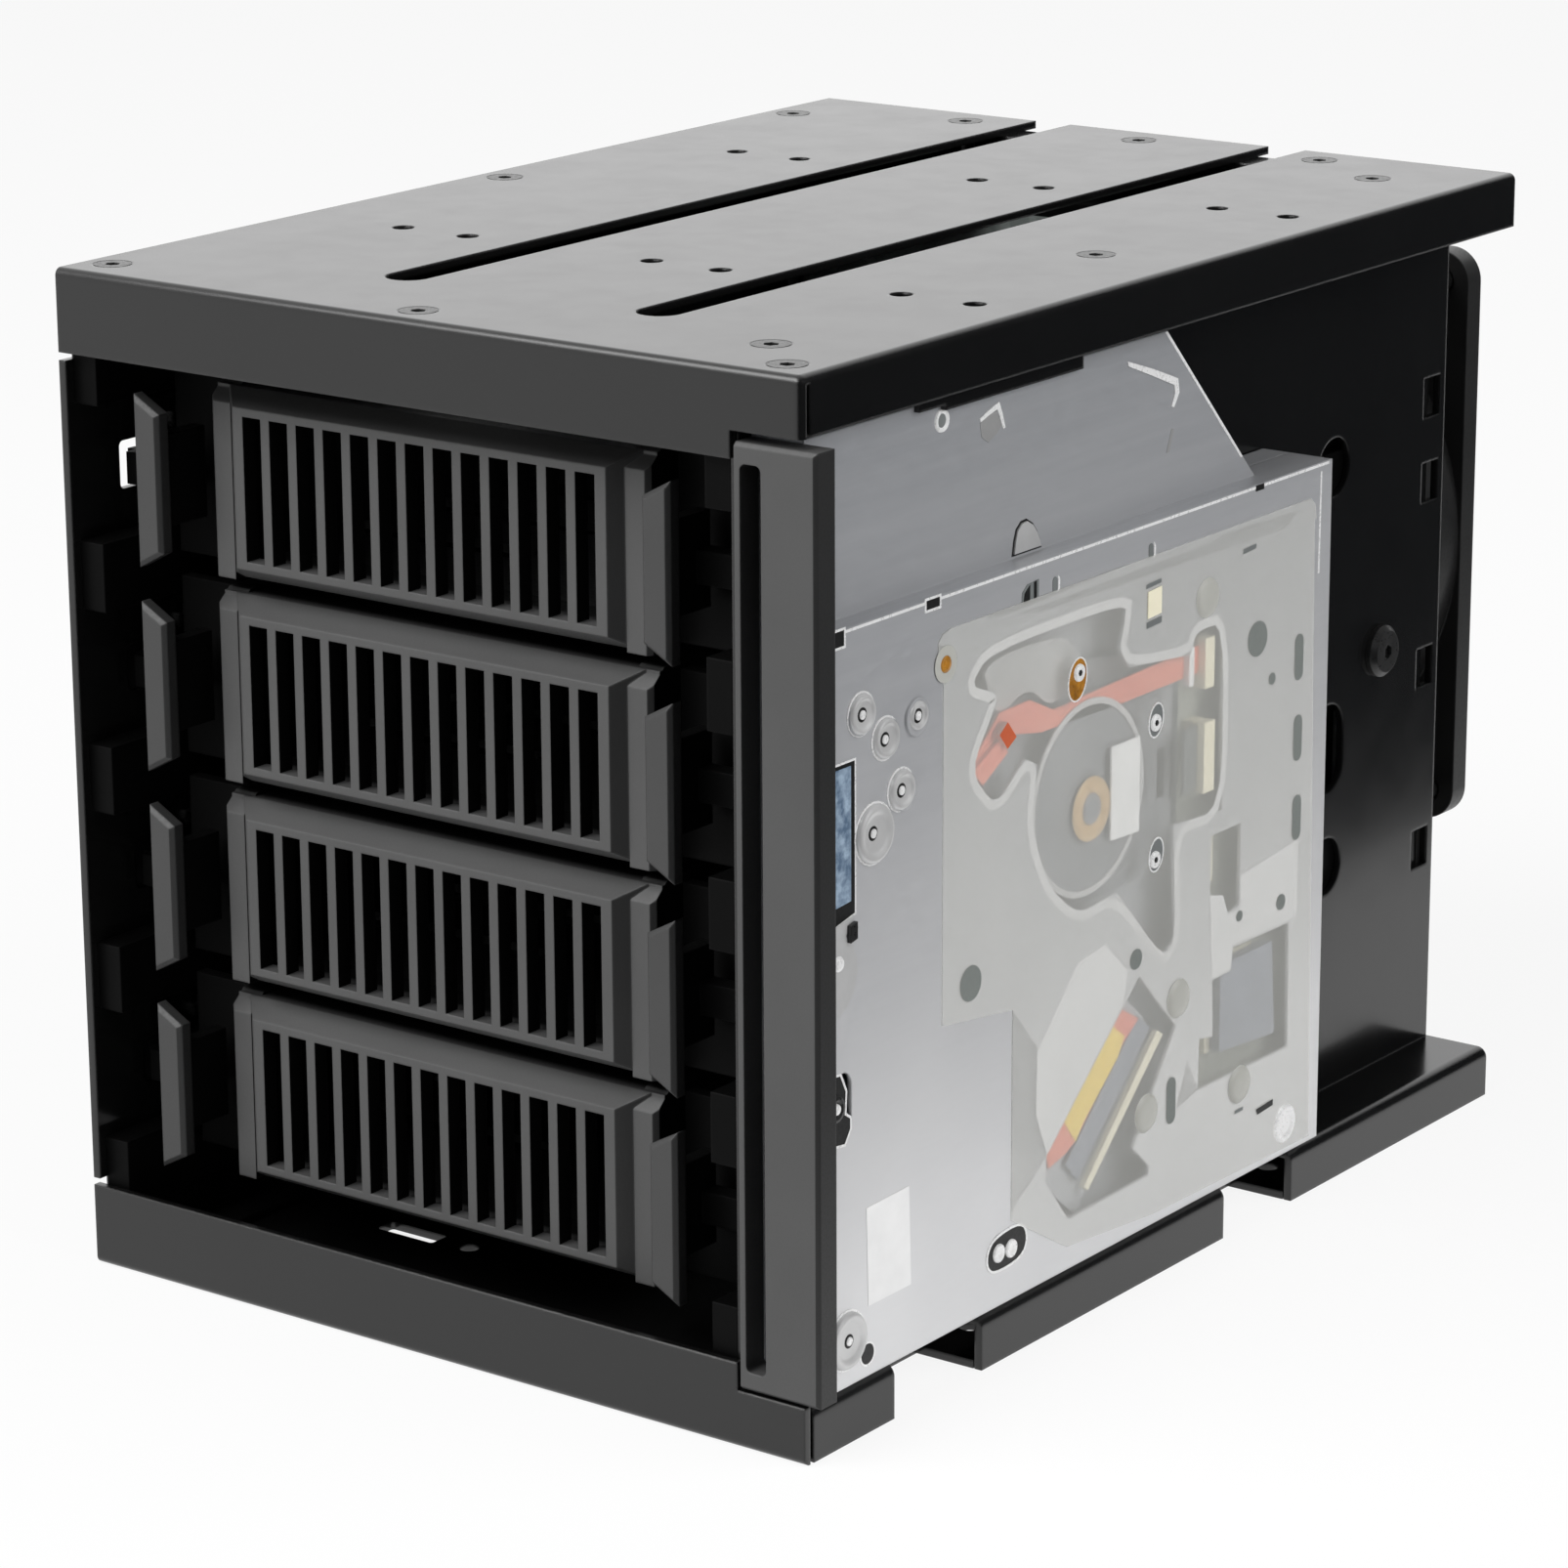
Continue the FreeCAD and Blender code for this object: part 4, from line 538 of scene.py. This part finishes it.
def front_openings():
    """What shows beside the drive's front: the pane, its black frame and the eject lever, with openings
    drawn as black plates of painted shade and painted highlights on their rims.
    """
    pane_frame = [(4.1, 73.0), (9.7, 74.2), (9.7, 94.6), (4.1, 94.6)]
    plates("pane_frame", [pane_frame], -0.1, 0.08, "hollow_black")
    plates("front_pane", [[(4.1, 75.6), (8.8, 76.0), (8.8, 94.1), (4.1, 94.1)]], 0.0, 0.16,
           "window_pane")
    band("pane_rim_highlight", [pane_frame], 0.0, 0.3, 0.0, 0.1, "bright_steel_and_painted_highlight")
    lever = [(4.1, 73.0), (9.4, 74.0)]
    lever += [(4.1 + 6.0 * math.sin(angle), 66.6 + 6.0 * math.cos(angle))
              for angle in [math.radians(35 + 14.5 * step) for step in range(11)]]
    plates("lever_plate", [lever], 0.0, 0.2, "pressed_steel_and_painted_highlight")
    turned("lever_rivet", [(5.9, 68.2)], [(1.1, 0.2), (0.9, 0.5), (0.4, 0.55)], "bright_steel_and_painted_highlight",
           steps=16)
    plates("lever_post", [[(7.9, 70.6), (9.4, 70.9), (9.4, 73.2), (7.9, 72.9)]], 0.2, 0.8,
           "screw_black", "screw_black")
    catch = [(4.2, 43.6), (7.4, 43.2), (8.6, 45.0), (8.6, 46.4), (7.4, 47.2), (7.6, 50.4), (6.4, 52.8),
             (4.2, 53.0)]
    plates("catch_opening", [catch], -0.1, 0.06, "hollow_black")
    band("catch_rim_highlight", [catch], 0.0, 0.35, 0.0, 0.1, "bright_steel_and_painted_highlight")
    turned("catch_wheel", [(5.2, 48.6)], [(1.9, 0.06), (1.8, 0.5), (1.1, 0.55), (0.9, 0.2)],
           "screw_black", steps=20)
    turned("catch_pin", [(5.2, 48.6)], [(0.8, 0.2), (0.7, 0.6), (0.3, 0.64)], "bright_steel_and_painted_highlight", steps=14)
    slot = softened([(40.6, 15.4), (42.4, 14.2), (48.8, 14.6), (50.2, 17.0), (48.8, 19.6),
                     (42.4, 19.2), (40.6, 17.6)])
    plates("screw_slot", [slot], -0.3, 0.05, "hollow_black")
    band("screw_slot_rim_highlight", [slot], 0.0, 0.35, 0.0, 0.12, "bright_steel_and_painted_highlight")
    turned("slot_screws", [(43.2, 16.8), (46.2, 16.6)],
           [(1.35, 0.05), (1.3, 0.3), (0.9, 0.34), (0.6, 0.2)], "bright_steel_and_painted_highlight", steps=18)


def film_windows():
    """Pale press lines, shaded windows and parts that the frosted film lets through."""
    flush = (OVER - 0.02, OVER + 0.02)           # levels of a mark in the film's outer face
    band("motor_window_band", [softened(MOTOR_WINDOW, cut=0.2)], 0.0, 1.4, 0.0, 0.03, "press_line")
    plates("pale_patches",
           [[(69.1, 54.3), (74.9, 48.9), (74.0, 44.6), (55.0, 27.6), (52.2, 34.2), (52.4, 43.3),
             (62.2, 53.4)],
            [(96.3, 54.4), (99.8, 53.6), (101.3, 50.4), (104.5, 50.4), (104.6, 55.4), (120.3, 57.0),
             (120.3, 45.3), (102.7, 45.4), (102.0, 42.0), (97.2, 41.8)]],
           0.0, 0.03, "pale_film")
    plates("film_pills", [pill(119.2, 81.2, 88.1, 1.15), pill(119.3, 69.1, 76.0, 1.15),
                          pill(119.5, 57.1, 63.9, 1.15), pill(86.6, 22.9, 29.9, 1.15)],
           *flush, "film_shade")
    plates("film_dots", [round_outline(36.1, 57.5, 2.5), round_outline(107.7, 89.8, 2.6),
                         round_outline(111.9, 83.0, 0.9), round_outline(76.9, 50.1, 1.5),
                         round_outline(104.2, 49.4, 0.8), round_outline(115.6, 48.6, 1.2)],
           *flush, "film_shade")
    plates("film_ticks", [[(78.2, 103.1), (82.0, 103.3), (82.0, 103.9), (78.2, 103.7)],
                          [(78.4, 97.4), (82.2, 97.6), (82.2, 98.5), (78.4, 98.3)],
                          [(103.4, 103.0), (106.8, 103.2), (106.8, 103.9), (103.4, 103.7)],
                          [(104.0, 19.3), (106.2, 19.3), (106.2, 19.8), (104.0, 19.8)],
                          [(88.2, 42.3), (89.8, 42.5), (89.8, 42.9), (88.2, 42.7)]],
           0.02, OVER + 0.02, "shade_grey")
    turned("film_domes", [(94.1, 98.6), (80.0, 26.4), (105.0, 23.6), (88.1, 41.3)],
           [(2.9, OVER - 0.05), (2.6, OVER + 0.28), (1.9, OVER + 0.42), (0.9, OVER + 0.47)], "dome_film")
    plates("film_clip", [[(78.6, 98.8), (82.0, 99.0), (82.0, 102.8), (78.6, 102.6)]],
           OVER - 0.05, OVER + 0.12, "cream_plastic")
    turned("amber_rivet", [(30.0, 102.9)], [(1.15, OVER), (1.1, OVER + 0.14), (0.6, OVER + 0.16)],
           "amber_resin", steps=18)
    band("amber_rivet_rim", [round_outline(30.0, 102.9, 1.2)], 0.0, 1.3, OVER - 0.03, OVER + 0.03,
         "dome_film")
    wells = [(61.2, 94.0, 2.9, "amber_resin"), (81.1, 83.8, 2.3, "shade_grey"),
             (81.6, 64.2, 2.3, "shade_grey")]
    for number, (y, z, radius, look) in enumerate(wells, 1):
        well = round_outline(y, z, radius, squeeze=0.72, tilt=-0.25)
        plates(f"screw_well_{number}", [well], OVER - 0.02, OVER + 0.03, look)
        # The rims around the screw wells are painted highlights.
        band(f"screw_well_rim_highlight_{number}", [well], 0.0, 0.25, OVER, OVER + 0.08, "bright_steel_and_painted_highlight")
    screws = [(61.5, 94.9), (80.9, 83.5), (81.2, 63.6)]
    turned("drive_screws", screws,
           [(1.25, OVER + 0.02), (1.2, OVER + 0.3), (0.8, OVER + 0.42), (0.45, OVER + 0.3)],
           "bright_steel_and_painted_highlight", steps=20)
    turned("drive_screw_sockets", screws, [(0.46, OVER + 0.3), (0.46, OVER + 0.34)], "hollow_black",
           steps=6)


def window_parts():
    """Motor, connectors, laser head and chips in the depth of the drive's windows."""
    disc = round_outline(66.0, 76.0, 13.6, steps=48)
    plates("motor_disc", [disc], -1.6, -1.2, "motor_metal", "motor_metal")
    band("motor_disc_rim", [disc], -0.5, 0.4, -1.3, -1.0, "pale_film")
    plates("motor_bridge", [softened([(41, 100.5), (58, 100.5), (62, 99), (66, 95), (58, 90), (52, 95),
                                      (45, 92), (42.5, 95.5)])], -2.0, -1.6, "pressed_steel_and_painted_highlight")
    turned("motor_ring", [(66.0, 74.5)], [(4.6, -0.6), (4.5, -0.35), (2.4, -0.35), (2.3, -0.6)],
           "bronze_ring")
    turned("motor_hub", [(66.0, 74.5)], [(2.2, -0.6), (2.1, -0.3), (1.2, -0.25)], "motor_metal")
    plates("motor_label", [[(70.4, 82.3), (77.6, 82.3), (77.6, 68.6), (70.4, 68.9)]], -0.4, -0.12,
           "label_paper")
    plates("cream_bars", [[(94.2, 85.3), (96.6, 85.3), (96.6, 92.6), (94.2, 92.6)],
                          [(94.2, 70.0), (97.0, 70.0), (97.0, 80.3), (94.2, 80.3)]], -1.5, -0.1,
           "cream_plastic", "circuit_board")
    plates("ribbon_latch", [[(90.3, 86.4), (91.6, 86.4), (91.6, 92.0), (90.3, 92.0)]], -1.5, -0.3,
           "label_paper", "circuit_board")
    plates("ribbon_fold", [[(44.5, 91.8), (46.6, 89.3), (44.5, 88.1), (42.6, 90.4)]], -1.0,
           OVER + 0.01, "orange_film", "ribbon_film")
    plates("ribbon_tail", [[(43.5, 89.2), (45.8, 87.3), (39.8, 84.0), (37.3, 86.4)]], -1.1, -0.6,
           "ribbon_film", "ribbon_film")
    plates("flat_cables", [[(83.0, 72.0), (84.4, 72.0), (84.4, 79.0), (83.0, 79.0)],
                           [(86.4, 71.5), (87.0, 71.5), (87.0, 79.5), (86.4, 79.5)]], -0.8, -0.5,
           "hollow_black", "socket_plastic")
    plates("connector_shade", [[(90.6, 70.6), (93.9, 70.6), (93.9, 80.0), (90.6, 80.0)]], -1.5, -1.1,
           "shade_grey", "circuit_board")
    plates("head_flex", [[(74.3, 43.4), (79.4, 40.5), (75.5, 38.0), (63.5, 26.9), (61.3, 25.8),
                          (56.9, 24.8), (55.9, 27.4), (57.2, 30.5)]], -2.0, -0.9,
           "ribbon_film", "ribbon_film")
    plates("head_label", [[(71.0, 42.3), (75.5, 39.0), (73.8, 36.3), (65.0, 29.0), (63.3, 26.9),
                           (59.1, 32.2), (61.7, 34.0)]], -0.9, -0.7, "yellow_paper")
    plates("head_rail", [[(83.5, 37.7), (85.0, 36.7), (66.1, 18.9), (65.0, 19.7)]], -1.2, -0.4,
           "cream_plastic", "inlet_plastic")
    plates("head_shade", [[(79.6, 40.6), (82.8, 38.2), (64.6, 20.6), (61.6, 24.0)]], -1.6, -1.2,
           "chip_grey", "chassis_metal")
    plates("main_chip", [[(100.8, 42.6), (114.9, 42.7), (116.0, 28.3), (100.9, 29.5)]], -2.4, -0.8,
           "chip_grey", "socket_plastic")


def film_margin():
    """The film's upper margin, which runs on above the windows."""
    strip = [(28.3, 102.0), (28.3, 106.0), (29.2, 107.0), (31.2, 107.5), (74.5, 107.5),
             (121.6, 107.6), (122.9, 106.4), (123.2, 104.3), (122.7, 104.4), (29.5, 105.5),
             (29.5, 102.0)]
    plates("film_margin", [strip], 0.0, OVER, "clear_film")


def slot_backing():
    """Black strip inside the right wall, behind its lowest rear slot."""
    plates("slot_backing", [[(178.3, 35.8), (180.6, 35.8), (180.6, 43.4), (178.3, 43.4)]],
           -13.6, -13.25, "hollow_black", "cage_paint")


def window_backings():
    """Black strips in the left wall that close the lower three latch windows."""
    outer = (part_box("left_wall")[0].x - FACE) / MM
    for number in (2, 3, 4):
        low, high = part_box(f"tray_{number}_left_latch")
        middle = (low.z + high.z) / 2 / MM
        strip = [(9.6, middle - 5.5), (17.4, middle - 5.5), (17.4, middle + 4.5), (9.6, middle + 4.5)]
        plates(f"window_backing_{number}", [strip], outer + 0.3, outer + 0.5, "hollow_black",
               "cage_paint")


def drive_label():
    """Blank paper sticker low on the drive's panel."""
    plates("blank_sticker", [[(12.3, 32.8), (22.0, 33.0), (22.5, 18.9), (12.7, 18.9)]], 0.0, 0.06,
           "label_paper")


drive_pressings()
wing_pressings()
front_openings()
film_windows()
film_margin()
window_parts()
slot_backing()
window_backings()
drive_label()


# --- studio ------------------------------------------------------------------------------------

WORLD_LIGHT = 0.12                               # of the white that the camera sees
FLOOR_GLOW = 0.88                                # share of white in the floor that the camera sees
FLOOR_HALF = 6.0
SENSOR = 36.0                                    # camera sensor's width, in millimetres
IMAGE_WIDTH = 1605                               # width of the image, and with it
FOCAL_LENGTH = 5528.19                           # the focal length in the same unit
CAMERA_TURN = (36.51, 16.16, -0.295)             # azimuth, elevation and roll, in degrees
CAMERA_PLACE = (452.31, -529.15, 283.82)         # from the front's middle, in millimetres


def seen_directly(nodes, links, strength):
    """strength for the rays of the camera, of a mirror and of a glass, and 0 for other rays."""
    path = nodes.new("ShaderNodeLightPath")
    total = path.outputs["Is Camera Ray"]
    for name in ("Is Glossy Ray", "Is Transmission Ray"):
        add = nodes.new("ShaderNodeMath")
        add.operation = "ADD"
        add.use_clamp = True
        links.new(total, add.inputs[0])
        links.new(path.outputs[name], add.inputs[1])
        total = add.outputs[0]
    factor = nodes.new("ShaderNodeMath")
    factor.operation = "MULTIPLY"
    factor.inputs[1].default_value = strength
    links.new(total, factor.inputs[0])
    return factor.outputs[0]


def world_light():
    """A white room that lights the object only a little."""
    world = bpy.data.worlds.new("studio")
    bpy.context.scene.world = world
    world.use_nodes = True
    nodes, links = world.node_tree.nodes, world.node_tree.links
    nodes.clear()
    mix = nodes.new("ShaderNodeMixShader")
    for socket, strength in ((1, WORLD_LIGHT), (2, 1.0)):
        background = nodes.new("ShaderNodeBackground")
        background.inputs["Color"].default_value = WHITE
        background.inputs["Strength"].default_value = strength
        links.new(background.outputs[0], mix.inputs[socket])
    links.new(seen_directly(nodes, links, 1.0), mix.inputs[0])
    output = nodes.new("ShaderNodeOutputWorld")
    links.new(mix.outputs[0], output.inputs["Surface"])


def board(name, corners, material):
    """A flat board of the studio, which isn't part of the object."""
    mesh = bpy.data.meshes.new(name)
    mesh.from_pydata(corners, [], [[0, 1, 2, 3]])
    thing = bpy.data.objects.new(name, mesh)
    bpy.context.scene.collection.objects.link(thing)
    mesh.materials.append(material)
    return thing


def studio_floor():
    """Pale floor that fades into the white room and takes a soft shadow."""
    material = bpy.data.materials.new("floor_white")
    material.use_nodes = True
    nodes, links = material.node_tree.nodes, material.node_tree.links
    diffuse = nodes["Principled BSDF"]
    diffuse.inputs["Base Color"].default_value = (0.86, 0.86, 0.86, 1)
    diffuse.inputs["Roughness"].default_value = 0.9
    diffuse.inputs["Specular IOR Level"].default_value = 0.0
    glow = nodes.new("ShaderNodeEmission")
    glow.inputs["Strength"].default_value = 1.0
    mix = nodes.new("ShaderNodeMixShader")
    links.new(seen_directly(nodes, links, FLOOR_GLOW), mix.inputs[0])
    links.new(diffuse.outputs[0], mix.inputs[1])
    links.new(glow.outputs[0], mix.inputs[2])
    links.new(mix.outputs[0], nodes["Material Output"].inputs["Surface"])
    size = FLOOR_HALF
    board("floor", [(-size, -size, 0), (size, -size, 0), (size, size, 0), (-size, size, 0)], material)


def flag():
    """Black board standing at the right, seen only in reflections: it darkens what faces it."""
    material = bpy.data.materials.new("flag_black")
    material.use_nodes = True
    nodes, links = material.node_tree.nodes, material.node_tree.links
    nodes.clear()
    black = nodes.new("ShaderNodeEmission")
    black.inputs["Color"].default_value = (0.02, 0.022, 0.026, 1)
    output = nodes.new("ShaderNodeOutputMaterial")
    links.new(black.outputs[0], output.inputs["Surface"])
    side, near, far, top = MIDDLE + 0.125, -0.3, 2.0, 0.35
    thing = board("flag", [(side, near, 0.0), (side, far, 0.0), (side, far, top), (side, near, top)],
                  material)
    thing.visible_camera = thing.visible_diffuse = False
    thing.visible_shadow = thing.visible_transmission = False


def lamp(name, place, aim, size, power):
    """A soft box that is seen in reflections but not by the camera."""
    data = bpy.data.lights.new(name, "AREA")
    data.shape = "RECTANGLE"
    data.size, data.size_y = size
    data.energy = power
    thing = bpy.data.objects.new(name, data)
    bpy.context.scene.collection.objects.link(thing)
    thing.location = place
    thing.rotation_mode = "QUATERNION"
    thing.rotation_quaternion = (Vector(aim) - Vector(place)).to_track_quat("-Z", "Y")
    thing.visible_camera = False


def camera():
    """Standing at the viewer's right front, looking slightly down."""
    data = bpy.data.cameras.new("view")
    data.sensor_width = SENSOR
    data.lens = SENSOR * FOCAL_LENGTH / IMAGE_WIDTH
    data.clip_start, data.clip_end = 0.05, 20.0
    thing = bpy.data.objects.new("view", data)
    bpy.context.scene.collection.objects.link(thing)
    azimuth, elevation, roll = [math.radians(angle) for angle in CAMERA_TURN]
    ahead = Vector((-math.sin(azimuth) * math.cos(elevation), math.cos(azimuth) * math.cos(elevation),
                    -math.sin(elevation)))
    right, forward, up = CAMERA_PLACE
    thing.location = (MIDDLE + right * MM, FRONT + forward * MM, up * MM)
    turn = ahead.to_track_quat("-Z", "Y").to_matrix() @ Matrix.Rotation(roll, 3, "Z")
    thing.rotation_mode = "QUATERNION"
    thing.rotation_quaternion = turn.to_quaternion()
    bpy.context.scene.camera = thing


world_light()
studio_floor()
camera()
flag()
lamp("key", (-0.42, -1.1, 1.3), (0, 0, 0.07), (1.5, 1.0), 31.0)
lamp("side", (1.2, 0.35, 0.8), (0.05, 0, 0.07), (1.3, 1.2), 15.0)
lamp("back", (-0.75, 1.15, 0.55), (0, 0, 0.12), (1.8, 0.8), 1.0)

scene = bpy.context.scene
scene.view_settings.view_transform = "Standard"
